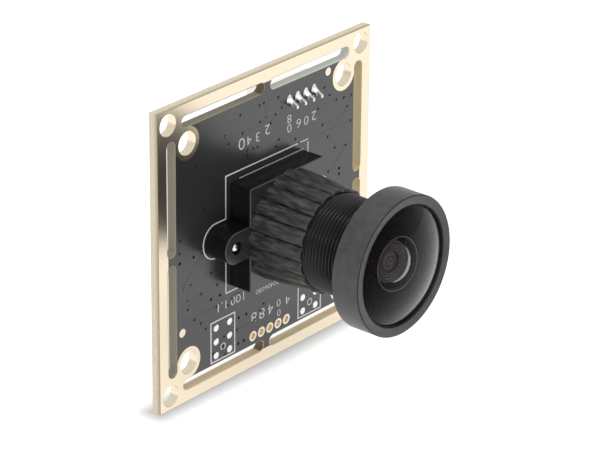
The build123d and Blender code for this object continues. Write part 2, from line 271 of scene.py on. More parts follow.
SOLDER_MASK = Finish("black solder mask", (0.018, 0.018, 0.019), roughness=0.26, ior=1.66)
GOLD_PLATING = Finish("gold plating", (0.78, 0.68, 0.52), roughness=0.22, metallic=1.0)
LAMINATE = Finish("glass laminate", (0.53, 0.48, 0.37), roughness=0.6,
                  pattern=Pattern(scale=9000.0, second=(0.45, 0.39, 0.29), stretch=(0.2, 1.0, 0.2)),
                  fade=Fade(start=-0.65, end=-1.15, colour=(0.31, 0.24, 0.15)))
ROUTED_WALL = Finish("routed wall", (0.25, 0.23, 0.17), roughness=0.7)
# Painted light: the tan, pale and lit walls are the routed wall's colour made lighter where light falls on
# each slot's wall.
PAINTED_LIGHT_TAN_WALL = Finish("tan wall with painted light", (0.48, 0.40, 0.24), roughness=0.7)
PAINTED_LIGHT_PALE_WALL = Finish("pale wall with painted light", (0.51, 0.53, 0.47), roughness=0.7)
LIT_WALL = Finish("lit wall", (0.57, 0.47, 0.32), roughness=0.7)
SCORCHED_WALL = Finish("scorched wall", (0.13, 0.08, 0.03), roughness=0.6)
TRACK_EDGE = Finish("track edge", (0.050, 0.050, 0.052), roughness=0.30, ior=1.66)
PRINT_WHITE = Finish("white print", (0.60, 0.60, 0.61), roughness=0.5)
VIA_BLACK = Finish("via black", (0.003, 0.003, 0.003), roughness=0.9, specular=0.1)
SOLDER = Finish("bright solder", (0.86, 0.86, 0.87), roughness=0.25, metallic=1.0,
                pattern=Pattern(scale=3000.0, second=(0.70, 0.70, 0.71), bump=0.02))
HOLDER_PLASTIC = Finish("moulded black plastic", (0.002, 0.002, 0.002), roughness=0.30, ior=1.33,
                        pattern=Pattern(scale=900.0, second=(0.004, 0.004, 0.004), bump=0.01))
HOLDER_FRONT = Finish("smooth moulded front", (0.018, 0.018, 0.019), roughness=0.22, ior=1.66)
# Painted highlight: the chamfer round the holder base's front is lighter for the thin light line that the
# edge catches.
EDGE_HIGHLIGHT = Finish("painted edge highlight", (0.025, 0.025, 0.025), roughness=0.35, ior=1.5)
RIBBED_PLASTIC = Finish("dusty ribbed plastic", (0.008, 0.008, 0.008), roughness=0.34, ior=1.44,
                        pattern=Pattern(scale=2800.0, second=(0.054, 0.054, 0.055), low=0.42, high=0.76,
                                        detail=12.0, stretch=(1.0, 0.2, 1.0), gloss=0.15, bump=0.03,
                                        spread=Spread.COLOUR_AND_GLOSS))
THREAD_BLACK = Finish("black anodised thread", (0.007, 0.007, 0.007), roughness=0.35, ior=1.4)
RING_GREY = Finish("satin anodised ring", (0.021, 0.021, 0.022), roughness=0.40,
                   pattern=Pattern(scale=1100.0, second=(0.034, 0.034, 0.035), low=0.35, high=0.7,
                                   detail=9.0, bump=0.004))
RING_EDGE = Finish("ring edge", (0.010, 0.010, 0.010), roughness=0.5, specular=0.3)
# Black of the lens's inner parts, also painted on the holder barrel's front end as shade.
INNER_BLACK_AND_SHADE = Finish("inner black and painted shade", (0.010, 0.009, 0.009), roughness=0.5)
# The tinted front glass darkens what lies behind it, so these are paler than they look there. The second
# glass's pale grey is also a painted reflection, for the sheen of its coated faces.
BAFFLE_BLACK = Finish("baffle black", (0.32, 0.305, 0.305), roughness=0.35)
TURNED_EDGE = Finish("bare turned edge", (0.90, 0.88, 0.88), roughness=0.4)
SECOND_GLASS_SHEEN = Finish("second glass", (0.74, 0.71, 0.71), roughness=0.05)

FRONT_GLASS = Finish("front glass", (0.29, 0.275, 0.275), roughness=0.0, ior=1.43, transmission=1.0,
                     facing=0.1)
GROUND_GLASS = Finish("ground glass edge", (0.30, 0.28, 0.28), roughness=0.6)
GLASS_PAINT = Finish("edge paint", (0.007, 0.004, 0.004), roughness=0.6, specular=0.1)
COATED_GLASS = Finish("coated inner glass", (0.020, 0.018, 0.020), roughness=0.02, ior=1.5)
SCREW_STEEL = Finish("screw steel", (0.85, 0.84, 0.83), roughness=0.2, metallic=1.0)
RESIN = Finish("chip resin", (0.020, 0.020, 0.021), roughness=0.55,
               pattern=Pattern(scale=20000.0, second=(0.028, 0.028, 0.029), bump=0.004))
RESIN_MARK = Finish("moulded mark", (0.045, 0.045, 0.046), roughness=0.35)
TINNED = Finish("tinned lead", (0.75, 0.75, 0.74), roughness=0.32, metallic=1.0)
NYLON = Finish("header nylon", (0.88, 0.87, 0.83), roughness=0.45)
CAN_STEEL = Finish("can steel", (0.70, 0.70, 0.69), roughness=0.25, metallic=1.0)
FERRITE = Finish("ferrite", (0.055, 0.053, 0.052), roughness=0.6)
CAPACITOR_TAN = Finish("capacitor ceramic", (0.36, 0.24, 0.14), roughness=0.45)
RESISTOR_BLACK = Finish("resistor glaze", (0.015, 0.015, 0.016), roughness=0.3)
CERAMIC_WHITE = Finish("package ceramic", (0.55, 0.55, 0.52), roughness=0.5)
FLOOR_WHITE = Finish("studio floor", (0.30, 0.30, 0.30), roughness=0.9, glow=0.9)
FLOOR_SHADE = Finish("shaded floor", FLOOR_WHITE.colour, roughness=0.9, glow=FLOOR_WHITE.glow)


# ---- shapes worked out as arrays ----


def board_points(x: Array, z: Array, away: Array, side: Side = Side.FRONT) -> Array:
    """Row-frame points over a place on the board.

    Args:
        x: millimetres to the right, seen from the front.
        z: millimetres up.
        away: millimetres in front of the front face, or behind the rear face.
        side: the face that `away` is measured from.

    Returns:
        Points in metres, of shape (..., 3).
    """
    x, z, away = np.broadcast_arrays(x, z, away)
    start = -BOARD.thickness if side is Side.FRONT else 0.0
    return np.stack([x, start + side.value * away, z], axis=-1) * MM


def grid_quads(rows: int, columns: int, close_rows: bool, close_columns: bool) -> Array:
    """Quads of a grid whose vertex (i, j) has the number i * columns + j.

    Args:
        rows: number of rows.
        columns: number of columns.
        close_rows: whether the last row joins the first.
        close_columns: whether the last column joins the first.

    Returns:
        Vertex numbers, four to a quad.
    """
    i = np.arange(rows if close_rows else rows - 1)[:, None]
    j = np.arange(columns if close_columns else columns - 1)[None, :]
    below, beside = (i + 1) % rows, (j + 1) % columns
    corners = (i * columns + j, i * columns + beside, below * columns + beside, below * columns + j)
    return np.stack(np.broadcast_arrays(*corners), axis=-1).reshape(-1, 4)


def finished_object(name: str, mesh: bpy.types.Mesh, crease: float = 30.0) -> bpy.types.Object:
    """Merges a mesh's doubles, turns its faces outwards and smooths it up to a crease angle.

    Args:
        name: name of the piece.
        mesh: its mesh, in place.
        crease: angle in degrees from which an edge stays sharp.

    Returns:
        The object, linked to the scene.
    """
    work = bmesh.new()
    work.from_mesh(mesh)
    bmesh.ops.remove_doubles(work, verts=work.verts, dist=1e-7)
    bmesh.ops.recalc_face_normals(work, faces=work.faces)
    work.to_mesh(mesh)
    work.free()
    mesh.shade_smooth()
    mesh.set_sharp_from_angle(angle=math.radians(crease))
    made = bpy.data.objects.new(name, mesh)
    bpy.context.scene.collection.objects.link(made)
    return made


def grid_object(name: str, points: Array, close_rows: bool, close_columns: bool,
                crease: float = 35.0) -> bpy.types.Object:
    """Object from a grid of points.

    Args:
        name: name of the piece.
        points: row-frame points in metres, of shape (rows, columns, 3).
        close_rows: whether the last row joins the first.
        close_columns: whether the last column joins the first.
        crease: angle in degrees from which an edge stays sharp.

    Returns:
        The object.
    """
    rows, columns = points.shape[:2]
    mesh = bpy.data.meshes.new(name)
    faces = grid_quads(rows, columns, close_rows, close_columns)
    mesh.from_pydata(points.reshape(-1, 3).tolist(), [], faces.tolist())
    return finished_object(name, mesh, crease)


def turned_object(name: str, profile: Array, segments: int = 128, open_at_axis: bool = False,
                  centre: Spot = (0.0, 0.0), crease: float = 30.0) -> bpy.types.Object:
    """Surface of revolution: point (j, k) has radius r_k and height h_k, turned by j / segments.

    Args:
        name: name of the piece.
        profile: (radius, height) points in millimetres.
        segments: number of steps round the axis.
        open_at_axis: whether the profile starts and ends on the axis and isn't a loop.
        centre: place of the axis on the front face.
        crease: angle in degrees from which an edge stays sharp.

    Returns:
        The object.
    """
    angle = even_turns(segments)[:, None]
    radius, height = profile[:, 0], profile[:, 1]
    points = board_points(centre[0] + radius * np.cos(angle), centre[1] + radius * np.sin(angle), height)
    return grid_object(name, points, True, not open_at_axis, crease)


def eased(outline: Sequence[Spot], size: float, steps: int = 4) -> Array:
    """Closed outline whose corners are eased.

    Each corner P becomes a quadratic Bezier curve that leaves the side before P at a distance
    `size` from it, has P as its control point, and joins the side after P at the same distance.

    Args:
        outline: corners of the closed outline.
        size: distance from a corner at which its curve starts and ends.
        steps: points on each curve.

    Returns:
        Points of the eased outline.
    """
    corner = np.asarray(outline, float)
    before, after = np.roll(corner, 1, axis=0), np.roll(corner, -1, axis=0)
    start = corner + size * unit(before - corner)
    end = corner + size * unit(after - corner)
    t = np.linspace(0.0, 1.0, steps)[None, :, None]
    curve = (1 - t) ** 2 * start[:, None] + 2 * t * (1 - t) * corner[:, None] + t ** 2 * end[:, None]
    return curve.reshape(-1, 2)


def unit(vectors: Array) -> Array:
    """Vectors of the same directions and of length one."""
    return vectors / np.linalg.norm(vectors, axis=-1, keepdims=True)


def mitres(path: Array, closed: bool = True) -> Array:
    """Moves that shift the points of a line to its left, which is inwards on an anticlockwise outline.

    With the left normals n and m of the stretches before and after a point, its move is
    (n + m) / (1 + n . m), which shifts both stretches by a distance of one.

    Args:
        path: points of the line.
        closed: whether the last point joins the first.

    Returns:
        The moves, one for each point.
    """
    before, after = np.roll(path, 1, axis=0), np.roll(path, -1, axis=0)
    if not closed:
        before[0] = 2 * path[0] - path[1]
        after[-1] = 2 * path[-1] - path[-2]
    first, second = (unit(b - a)[:, ::-1] * (-1.0, 1.0) for a, b in ((before, path), (path, after)))
    return (first + second) / (1 + np.sum(first * second, axis=1, keepdims=True))


def even_turns(count: int) -> Array:
    """Angles of `count` even steps round a circle."""
    return np.arange(count) * FULL_TURN / count


def around(centre: Spot, radius: float, angle: Array, stretch: float = 1.0) -> Array:
    """Points at some angles on a circle, or on an oval where `stretch` is its height over its width."""
    return np.stack([centre[0] + radius * np.cos(angle), centre[1] + radius * stretch * np.sin(angle)], -1)


def circle(radius: float, centre: Spot = (0.0, 0.0), count: int = 48, stretch: float = 1.0) -> Array:
    """Closed circle or oval."""
    return around(centre, radius, even_turns(count), stretch)


def arc(centre: Spot, radius: float, start: float, end: float, count: int = 24) -> Array:
    """Points on a circular arc between two angles in degrees."""
    return around(centre, radius, np.radians(np.linspace(start, end, count)))


def cap(curve: float, clear: float, radius: Array) -> Array:
    """Height of a spherical face over its edge, at each distance from the axis."""
    return np.sqrt(curve ** 2 - radius ** 2) - math.sqrt(curve ** 2 - clear ** 2)


def rectangle(left: float, right: float, bottom: float, top: float) -> Array:
    """Corners of an upright rectangle."""
    return np.array([(left, bottom), (right, bottom), (right, top), (left, top)])


def stadium(centre: Spot, length: float, width: float, upright: bool, count: int = 16) -> Array:
    """Closed slot with round ends, along X or upright along Z.

    Args:
        centre: its middle.
        length: from end to end.
        width: across, which is also the diameter of its ends.
        upright: whether it runs along Z.
        count: points on each end.

    Returns:
        Points of the slot's outline.
    """
    reach = (length - width) / 2
    right = arc((reach, 0.0), width / 2, -90, 90, count)
    left = arc((-reach, 0.0), width / 2, 90, 270, count)
    outline = np.concatenate([right, left])
    return (outline[:, ::-1] if upright else outline) + np.asarray(centre)


def ribbon(path: Array, width: float, closed: bool = False) -> list[Array]:
    """Outlines of a line of even width: the points moved to each side by half the width.

    Args:
        path: points of the middle line.
        width: width of the line.
        closed: whether the last point joins the first.

    Returns:
        One loop for an open line, and the outer and inner loop for a closed one.
    """
    path = np.asarray(path, float)
    side = mitres(path, closed) * width / 2
    left, right = path + side, path - side
    return [left, right] if closed else [np.concatenate([left, right[::-1]])]


def dogleg(start: Spot, end: Spot) -> Array:
    """Track between two places: a diagonal at 45 degrees, then straight on.

    Args:
        start: where it begins.
        end: where it ends.

    Returns:
        Its three points.
    """
    a, b = np.asarray(start, float), np.asarray(end, float)
    reach = np.min(np.abs(b - a))
    return np.array([a, a + np.sign(b - a) * reach, b])


def flat_object(name: str, loops: Iterable[Array], bottom: float, top: float,
                side: Side = Side.FRONT) -> bpy.types.Object:
    """Flat piece that lies on a face of the board.

    Args:
        name: name of the piece.
        loops: closed outlines as (x, z) in millimetres; a loop inside another is a hole.
        bottom: distance of its lower face from the board's face.
        top: distance of its upper face.
        side: the face of the board.

    Returns:
        The object.
    """
    curve = bpy.data.curves.new(name, "CURVE")
    curve.dimensions = "2D"
    curve.fill_mode = "BOTH"
    curve.extrude = (top - bottom) / 2
    for loop in loops:
        spline = curve.splines.new("POLY")
        spline.points.add(len(loop) - 1)
        flat = np.concatenate([loop, np.zeros((len(loop), 1)), np.ones((len(loop), 1))], axis=1)
        spline.points.foreach_set("co", flat.ravel())
        spline.use_cyclic_u = True
    return object_from_curve(name, curve, flat_place((bottom + top) / 2, side))


def flat_place(away: float, side: Side, spot: Spot = (0.0, 0.0), turn: float = 0.0) -> Matrix:
    """Matrix from a flat drawing in millimetres to a face of the board.

    Args:
        away: distance of the drawing's plane from the face.
        side: the face.
        spot: where the drawing's origin goes.
        turn: degrees by which the drawing turns, anticlockwise as seen from that side.

    Returns:
        The matrix. The drawing's X runs to the right as seen from that side, and its Y up.
    """
    start = -BOARD.thickness if side is Side.FRONT else 0.0
    lay = Matrix(((-side.value, 0, 0), (0, 0, side.value), (0, 1, 0))).to_4x4()
    place = Matrix.Translation(Vector((spot[0], start + side.value * away, spot[1])) * MM)
    return place @ lay @ Matrix.Rotation(math.radians(turn), 4, "Z") @ Matrix.Scale(MM, 4)


def object_from_curve(name: str, curve: bpy.types.Curve, place: Matrix) -> bpy.types.Object:
    """Makes a curve or text a mesh, puts its place into the mesh and removes the drawing.

    Args:
        name: name of the piece.
        curve: the curve or text.
        place: where it goes.

    Returns:
        The object.
    """
    drawing = bpy.data.objects.new(name + " drawing", curve)
    bpy.context.scene.collection.objects.link(drawing)
    graph = bpy.context.evaluated_depsgraph_get()
    mesh = bpy.data.meshes.new_from_object(drawing.evaluated_get(graph))
    bpy.data.objects.remove(drawing)
    mesh.name = name
    mesh.transform(place)
    return finished_object(name, mesh)


def join_objects(name: str, parts: Sequence[bpy.types.Object]) -> bpy.types.Object:
    """One object from several whose places are in their meshes.

    Args:
        name: name of the piece.
        parts: the objects, which are removed.

    Returns:
        The object.
    """
    work = bmesh.new()
    for part in parts:
        work.from_mesh(part.data)
        bpy.data.objects.remove(part)
    mesh = bpy.data.meshes.new(name)
    work.to_mesh(mesh)
    work.free()
    return finished_object(name, mesh)


def mirrored(loops: Iterable[Array]) -> list[Array]:
    """Outlines as they are drawn for the rear face, where X runs the other way."""
    return [loop * (-1.0, 1.0) for loop in loops]


def dress(piece: bpy.types.Object, finish: Finish, body: Body, slot: str, *nodes: str) -> bpy.types.Object:
    """Gives a piece its finish and body, and hides the CAD nodes that it stands for.

    Args:
        piece: the piece.
        finish: its finish.
        body: the body it moves with.
        slot: the record's material slot it belongs to; not used.
        nodes: CAD nodes that it replaces.

    Returns:
        The piece.
    """
    piece.data.materials.clear()
    piece.data.materials.append(finish.material())
    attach(piece, body.value)
    if nodes:
        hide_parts(*nodes)
    log.info("%s: %d faces", piece.name, len(piece.data.polygons))
    return piece


def lay(name: str, loops: Iterable[Array], bottom: float, top: float, finish: Finish,
        side: Side = Side.FRONT) -> None:
    """Lays a flat piece of the board's own make-up on one of its faces, and gives it its finish."""
    dress(flat_object(name, loops, bottom, top, side), finish, Body.BOARD, "solder_mask")


def paint(piece: bpy.types.Object, finish: Finish, wanted: Callable[[Array, Array], Array]) -> None:
    """Gives some faces of a turned piece a second finish.

    Args:
        piece: the piece, already dressed.
        finish: the second finish.
        wanted: says, from the faces' radii and heights in millimetres, which of them take it.
    """
    faces = piece.data.polygons
    middle = np.empty(3 * len(faces))
    faces.foreach_get("center", middle)
    middle = middle.reshape(-1, 3) / MM
    chosen = wanted(np.hypot(middle[:, 0], middle[:, 2]), -middle[:, 1] - BOARD.thickness)
    index = np.empty(len(faces), np.int32)
    faces.foreach_get("material_index", index)
    index[chosen] = len(piece.data.materials)
    piece.data.materials.append(finish.material())
    faces.foreach_set("material_index", index)


def solids_of(node: str) -> list[tuple[Array, Array]]:
    """Lowest and highest corner, in millimetres, of each separate solid in a CAD node.

    Args:
        node: name of the node.

    Returns:
        One pair of corners for each solid, from left to right and from the bottom up.
    """
    work = bmesh.new()
    work.from_mesh(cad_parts[node].data)
    bmesh.ops.remove_doubles(work, verts=work.verts, dist=1e-7)
    left, found = set(work.verts), []
    while left:
        group, edge = set(), [left.pop()]
        while edge:
            group.update(edge)
            edge = list({e.other_vert(v) for v in edge for e in v.link_edges} - group)
        left -= group
        corners = np.array([v.co for v in group]) / MM
        found.append((corners.min(axis=0), corners.max(axis=0)))
    work.free()
    return sorted(found, key=lambda pair: (round(pair[0][0], 3), round(pair[0][2], 3)))


# ---- the circuit board ----


@dataclass
class CircuitBoard:
    """Board with its plating, solder mask, slot walls and plated holes.

    Attributes:
        rim_hole_place: distance in X and Z from the middle to each hole of the rim.
        core_hole_place: the same for the holes of the core.
        annulus_radius: radius of the bare plating round a hole of the core.
        ring_x: middle of the row of test holes.
        oval_radius: half width of the mask's oval round a header pin.
        oval_stretch: its height over its width.
        plating_top: height of the plating's upper face.
        mask_top: height of the solder mask's upper face.
        mask_gap: bare edge beside the mask and the plating.
        wall_proud: distance by which a slot's dressed wall stands into the slot.
        wall_lift: distance by which that wall stands over the plating.
        flank_reach: angle, in degrees, up to which the mask follows a slot's round end on a tab.
        scorch_reach: half of the angle, in degrees, over which a slot's end is scorched.
    """

    thickness: float = (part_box("circuit_board")[1].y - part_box("circuit_board")[0].y) / MM
    side: float = (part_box("circuit_board")[1].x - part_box("circuit_board")[0].x) / MM
    core: float = 32.0
    slot_width: float = 1.5
    slot_reach: float = 15.0
    tab: float = 1.0
    rim_hole_place: float = 17.2
    rim_hole_radius: float = 1.4
    core_hole_place: float = 14.0
    core_hole_radius: float = 1.5
    annulus_radius: float = 2.05
    ring_x: float = 0.6
    ring_z: float = -14.9
    ring_pitch: float = 1.54
    ring_hole_radius: float = 0.4
    ring_pad_radius: float = 0.67
    header_x: float = 6.25
    header_z: float = 13.7
    header_pitch: float = 1.5
    oval_radius: float = 0.48
    oval_stretch: float = 1.6
    plating_top: float = 0.02
    mask_top: float = 0.04
    mask_gap: float = 0.05
    plating_wall: float = 0.03
    wall_proud: float = 0.04
    wall_lift: float = 0.004
    flank_reach: float = 50.0
    scorch_reach: float = 75.0

    def rings(self) -> list[Spot]:
        """Places of the five plated test holes."""
        return [(self.ring_x + self.ring_pitch * (k - 2), self.ring_z) for k in range(5)]

    def pins(self) -> list[Spot]:
        """Places of the four header pins."""
        return [(self.header_x + self.header_pitch * (k - 1.5), self.header_z) for k in range(4)]

    def corners(self, place: float) -> list[Spot]:
        """The four places of a square pattern."""
        return [(x * place, z * place) for x in (-1, 1) for z in (-1, 1)]

    def slots(self) -> list[Array]:
        """Outlines of the eight slots between the core and the rim.

        Returns:
            The slots: lower and upper left, lower and upper right, two at the left, two at the right.
        """
        middle = (self.core + self.slot_width) / 2
        along = (self.slot_reach + self.tab / 2) / 2
        length = self.slot_reach - self.tab / 2
        loops = [stadium((sign * along, edge * middle), length, self.slot_width, False)
                 for sign in (-1, 1) for edge in (-1, 1)]
        loops += [stadium((edge * middle, sign * along), length, self.slot_width, True)
                  for edge in (-1, 1) for sign in (-1, 1)]
        return loops

    def openings(self) -> list[Array]:
        """Outlines of the slots and of every plated hole that shows.

        Returns:
            The outlines.
        """
        loops = self.slots()
        loops += [circle(self.rim_hole_radius, spot) for spot in self.corners(self.rim_hole_place)]
        loops += [circle(self.core_hole_radius, spot) for spot in self.corners(self.core_hole_place)]
        loops += [circle(self.ring_hole_radius, spot, 32) for spot in self.rings()]
        return loops

    def mask_outline(self) -> Array:
        """Outer outline of the solder mask.

        It runs inside the core's edge, steps round each corner hole on the annulus's circle, and
        goes out on each tab between the round slot ends: x = reach - r cos(b), z = middle + r sin(b).

        Returns:
            The closed outline.
        """
        half = self.core / 2 - self.mask_gap
        hole, radius = self.core_hole_place, self.annulus_radius
        inset = math.degrees(math.acos((half - hole) / radius))
        bend = np.radians(np.linspace(-90, self.flank_reach, 12))
        end = self.slot_width / 2
        flank = np.stack([self.tab / 2 + end - self.mask_gap - end * np.cos(bend),
                          self.core / 2 + end + end * np.sin(bend)], -1)
        quarter = np.concatenate([
            arc((hole, hole), radius, -inset, inset - 270, 40),
            flank,
            flank[::-1] * (-1.0, 1.0),
        ])
        turns = [np.linalg.matrix_power(np.array([[0, -1], [1, 0]]), k) for k in range(4)]
        return np.concatenate([quarter @ turn.T for turn in turns])

    def build_face(self, side: Side) -> None:
        """Plating and solder mask of one face.

        Args:
            side: the face.
        """
        edge = self.side / 2 - self.mask_gap
        plating = [rectangle(-edge, edge, -edge, edge)] + self.openings()
        mask = [self.mask_outline()]
        mask += [circle(self.ring_pad_radius, spot, 32) for spot in self.rings()]
        mask += [circle(self.oval_radius, spot, 40, self.oval_stretch) for spot in self.pins()]
        if side is Side.FRONT:
            mask += [circle(radius, spot, 32) for spot, radius in Marks.fiducials]
        else:
            plating, mask = mirrored(plating), mirrored(mask)
        word = side.name.lower()
        lay(f"{word}_gold_plating", plating, 0.0, self.plating_top, GOLD_PLATING, side)
        lay(f"{word}_solder_mask", mask, 0.0, self.mask_top, SOLDER_MASK, side)

    def build_slot_walls(self) -> None:
        """Dull routed walls of the slots, with a bare edge round them, and scorched ends at the tabs. The
        walls of the lower, upper right and right slots are painted light: lighter copies of the routed
        colour where light falls on them.
        """
        top = self.plating_top + self.wall_lift
        slots = self.slots()
        # The lit, tan and pale walls are painted light: the routed colour made lighter where light falls
        # on the wall.
        groups = (
            ("lower", slots[0:4:2], LIT_WALL),
            ("upper_left", slots[1:2], ROUTED_WALL),
            ("upper_right", slots[3:4], PAINTED_LIGHT_PALE_WALL),
            ("left", slots[4:6], ROUTED_WALL),
            ("right", slots[6:], PAINTED_LIGHT_TAN_WALL),
        )
        for word, group, finish in groups:
            walls = [ring for slot in group for ring in ribbon(slot, 2 * self.wall_proud, True)]
            lay(f"{word}_slot_walls", walls, -self.thickness - top, top, finish)
        middle = (self.core + self.slot_width) / 2
        radius = self.slot_width / 2
        place = self.tab / 2 + radius
        # The scorched strip is as thick as the wall stands proud, and lies on the wall's inner side.
        bend = radius - 1.5 * self.wall_proud
        reach = self.scorch_reach
        ends = [arc((-place, edge * middle), bend, -reach, reach) for edge in (-1, 1)]
        strips = [ring for end in ends for ring in ribbon(end, self.wall_proud)]
        lay("slot_ends", strips, -self.thickness, 0.0, SCORCHED_WALL)

    def build_sleeves(self) -> None:
        """Plated walls of the holes, as thin tubes a little longer than the board is thick."""
        rows = [(self.rim_hole_radius, spot) for spot in self.corners(self.rim_hole_place)]
        rows += [(self.core_hole_radius, spot) for spot in self.corners(self.core_hole_place)]
        rows += [(self.ring_hole_radius, spot) for spot in self.rings()]
        sleeves = []
        for radius, spot in rows:
            inner, top = radius - self.plating_wall, self.plating_top
            profile = np.array([(inner, -self.thickness - top), (radius, -self.thickness - top),
                                (radius, top), (inner, top)])
            sleeves.append(turned_object("sleeve", profile, 48, centre=spot))
        dress(join_objects("plated_hole_walls", sleeves), GOLD_PLATING, Body.BOARD, "solder_mask")

    def build(self) -> None:
        """The whole board."""
        dress(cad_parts["circuit_board"], LAMINATE, Body.BOARD, "solder_mask")
        self.build_face(Side.FRONT)
        self.build_face(Side.REAR)
        self.build_slot_walls()
        self.build_sleeves()


BOARD = CircuitBoard()


@dataclass
class Marks:
    """White print, vias and tracks of the front face.

    Attributes:
        line: width of the white lines.
        via_lift: height of a via over the solder mask.
        edge_lift: height of a wide track's edge over the solder mask.
        edge_line: width of that edge.
        fiducials: place and radius of each bare round mark.
        pad_boxes: left and right side of each box of spare pads.
        box_rings: middles of the two small rings in the boxes.
        outline_half: half width of the outline round the holder.
        ear_arc: middle and radius of that outline's bow round an ear.
        inner_line: ends of the thin line beside the holder.
        digit_share: height of a digit over the font's size.
        digit_thinning: share of its height by which a digit's strokes are thinned.
        digit_stretch: width of a digit over its width in the font.
        digits: each number with the place of its middle and its height.
    """

    line: float = 0.17
    print_top: float = 0.055
    via_radius: float = 0.2
    via_lift: float = 0.004
    track_width: float = 0.2
    track_top: float = 0.055
    wide_track: float = 0.75
    edge_line: float = 0.09
    edge_lift: float = 0.008

    fiducials: tuple[tuple[Spot, float], ...] = (((11.1, 15.25), 0.52), ((-15.05, -9.75), 0.55))
    pad_boxes: Spots = ((-10.1, -5.85), (5.85, 10.1))
    pad_box_bottom: float = -15.65
    pad_box_top: float = -10.4
    box_rings: Spots = ((-7.95, -14.15), (8.05, -14.15))
    box_ring_radius: float = 0.40
    box_ring_line: float = 0.11
    outline_half: float = 7.42
    outline_bottom: float = -7.38
    outline_top: float = 7.7
    ear_arc: tuple[Spot, float] = ((9.15, 0.08), 2.22)
    inner_line: Spots = ((-5.0, 6.71), (6.6, 6.71))
    inner_width: float = 0.08
    vias_upper_left: Spots = (
        (-4.8, 14.65), (-1.5, 14.75), (-0.6, 14.8), (-0.25, 13.0), (-1.35, 12.6), (-4.4, 12.2),
        (-7.5, 12.75), (-6.9, 11.7), (-3.6, 9.75), (-2.6, 9.7), (-1.8, 9.6), (-3.5, 9.1),
        (-11.1, 4.85), (-12.6, 10.7), (-15.4, 2.15), (-15.45, 0.65))
    vias_lower_left: Spots = (
        (-15.45, -0.65), (-13.05, -0.65), (-11.6, -0.7), (-14.8, -4.0), (-13.55, -4.05), (-14.25, -5.85),
        (-14.15, -7.0), (-11.85, -5.9), (-10.0, -3.8), (-8.95, -5.6), (-10.05, -7.2), (-8.5, -7.2),
        (-12.95, -8.75), (-9.2, -8.5), (-7.0, -9.05), (-5.25, -8.2), (-11.8, -9.7), (-11.0, -10.65),
        (-5.1, -11.45), (-3.75, -11.45), (-0.6, -11.3), (-5.4, -12.95), (-5.2, -14.85), (-4.2, -14.85),
        (-7.8, -13.0), (-9.7, -14.5), (-7.6, -15.3), (-7.95, -14.2))
    vias_right: Spots = (
        (1.95, 14.75), (2.6, 13.3), (1.4, 12.7), (0.6, 11.9), (2.05, 9.3), (1.6, 8.6), (10.4, 13.4),
        (11.4, 12.2), (9.3, 11.05), (12.6, 11.15), (14.1, 11.0), (15.5, 10.9), (14.75, 9.6),
        (10.15, 8.7), (5.1, 8.4), (15.4, 7.55), (11.15, 6.8), (12.5, 5.0), (14.55, 4.6),
        (11.35, 2.15), (13.4, 1.95), (13.4, 1.2))

    digit_share: float = 0.69
    digit_thinning: float = 0.02
    digit_stretch: float = 1.2
    digits: tuple[tuple[str, Spot, float], ...] = (
        ("0", (-4.6, 11.0), 1.45), ("4", (-3.3, 11.0), 1.1), ("3", (-1.75, 10.95), 1.15),
        ("2", (0.0, 11.35), 1.3), ("8", (3.95, 11.45), 1.05), ("0", (3.95, 10.25), 1.05),
        ("6", (5.65, 10.35), 1.15), ("0", (7.05, 10.3), 1.1), ("2", (8.5, 10.45), 1.2),
        ("1.1", (-8.1, -8.75), 1.1), ("100", (-5.2, -8.75), 1.1), ("20406080", (0.1, -9.2), 0.62),
        ("8", (-2.35, -12.35), 1.35), ("8", (-0.9, -12.35), 1.35), ("4", (0.7, -12.35), 1.3),
        ("0", (2.2, -12.1), 0.95), ("0", (2.25, -13.45), 0.85), ("4", (3.85, -12.3), 1.1))
    wide_tracks: tuple[Spots, ...] = (
        ((-7.6, 12.75), (-7.6, 14.3), (-6.9, 15.05), (-5.2, 15.15)),
        ((0.0, 15.5), (0.0, 13.0)),
        ((-15.1, -7.6), (-15.1, -4.0)),
        ((-14.0, -7.6), (-14.0, -4.4), (-13.6, -3.8)),
        ((-5.4, -10.15), (2.4, -10.15)),
        ((7.9, 6.0), (15.0, 5.85), (15.45, 5.4), (15.45, 3.6)),
        ((14.9, 11.0), (14.9, 9.3)))

    def outlines(self) -> list[Array]:
        """White lines: the holder's outline with its ear arcs, a thin line, the pad boxes and two rings.

        Returns:
            The outlines of the lines.
        """
        (ear_x, ear_z), radius = self.ear_arc
        half = self.outline_half
        side = np.concatenate([[(half, self.outline_bottom), (half, ear_z - radius)],
                               arc((ear_x, ear_z), radius, -90, 90, 40),
                               [(half, ear_z + radius), (half, self.outline_top)]])
        loops = ribbon(np.concatenate([side, side[::-1] * (-1.0, 1.0)]), self.line, True)
        loops += ribbon(np.array(self.inner_line), self.inner_width)
        for left, right in self.pad_boxes:
            loops += ribbon(rectangle(left, right, self.pad_box_bottom, self.pad_box_top), self.line, True)
        for spot in self.box_rings:
            loops += ribbon(circle(self.box_ring_radius, spot, 32), self.box_ring_line, True)
        return loops

    def number(self, text: str, spot: Spot, height: float) -> bpy.types.Object:
        """Printed number whose middle lies at a place, seen upside down.

        Args:
            text: the digits.
            spot: where its middle goes.
            height: height of a digit.

        Returns:
            The object.
        """
        font = bpy.data.curves.new("number", "FONT")
        font.body = text
        font.size = height / self.digit_share
        font.offset = -self.digit_thinning * height
        font.align_x, font.align_y = "CENTER", "CENTER"
        font.extrude = (self.print_top - BOARD.plating_top) / 2
        place = flat_place((self.print_top + BOARD.plating_top) / 2, Side.FRONT, spot, 180.0)
        place = place @ Matrix.Scale(self.digit_stretch, 4, Vector((1.0, 0.0, 0.0)))
        return object_from_curve("number", font, place)

    def via_groups(self) -> tuple[Spots, Spots, Spots]:
        """Places of the vias, in groups."""
        return self.vias_upper_left, self.vias_lower_left, self.vias_right

    def routes(self) -> list[Array]:
        """Middle lines of the covered tracks, one for each two vias of a group that make a bend."""
        pairs = [pair for group in self.via_groups() for pair in zip(group[::2], group[1::2])]
        return [dogleg(a, b) for a, b in pairs if a[0] != b[0] and a[1] != b[1]]

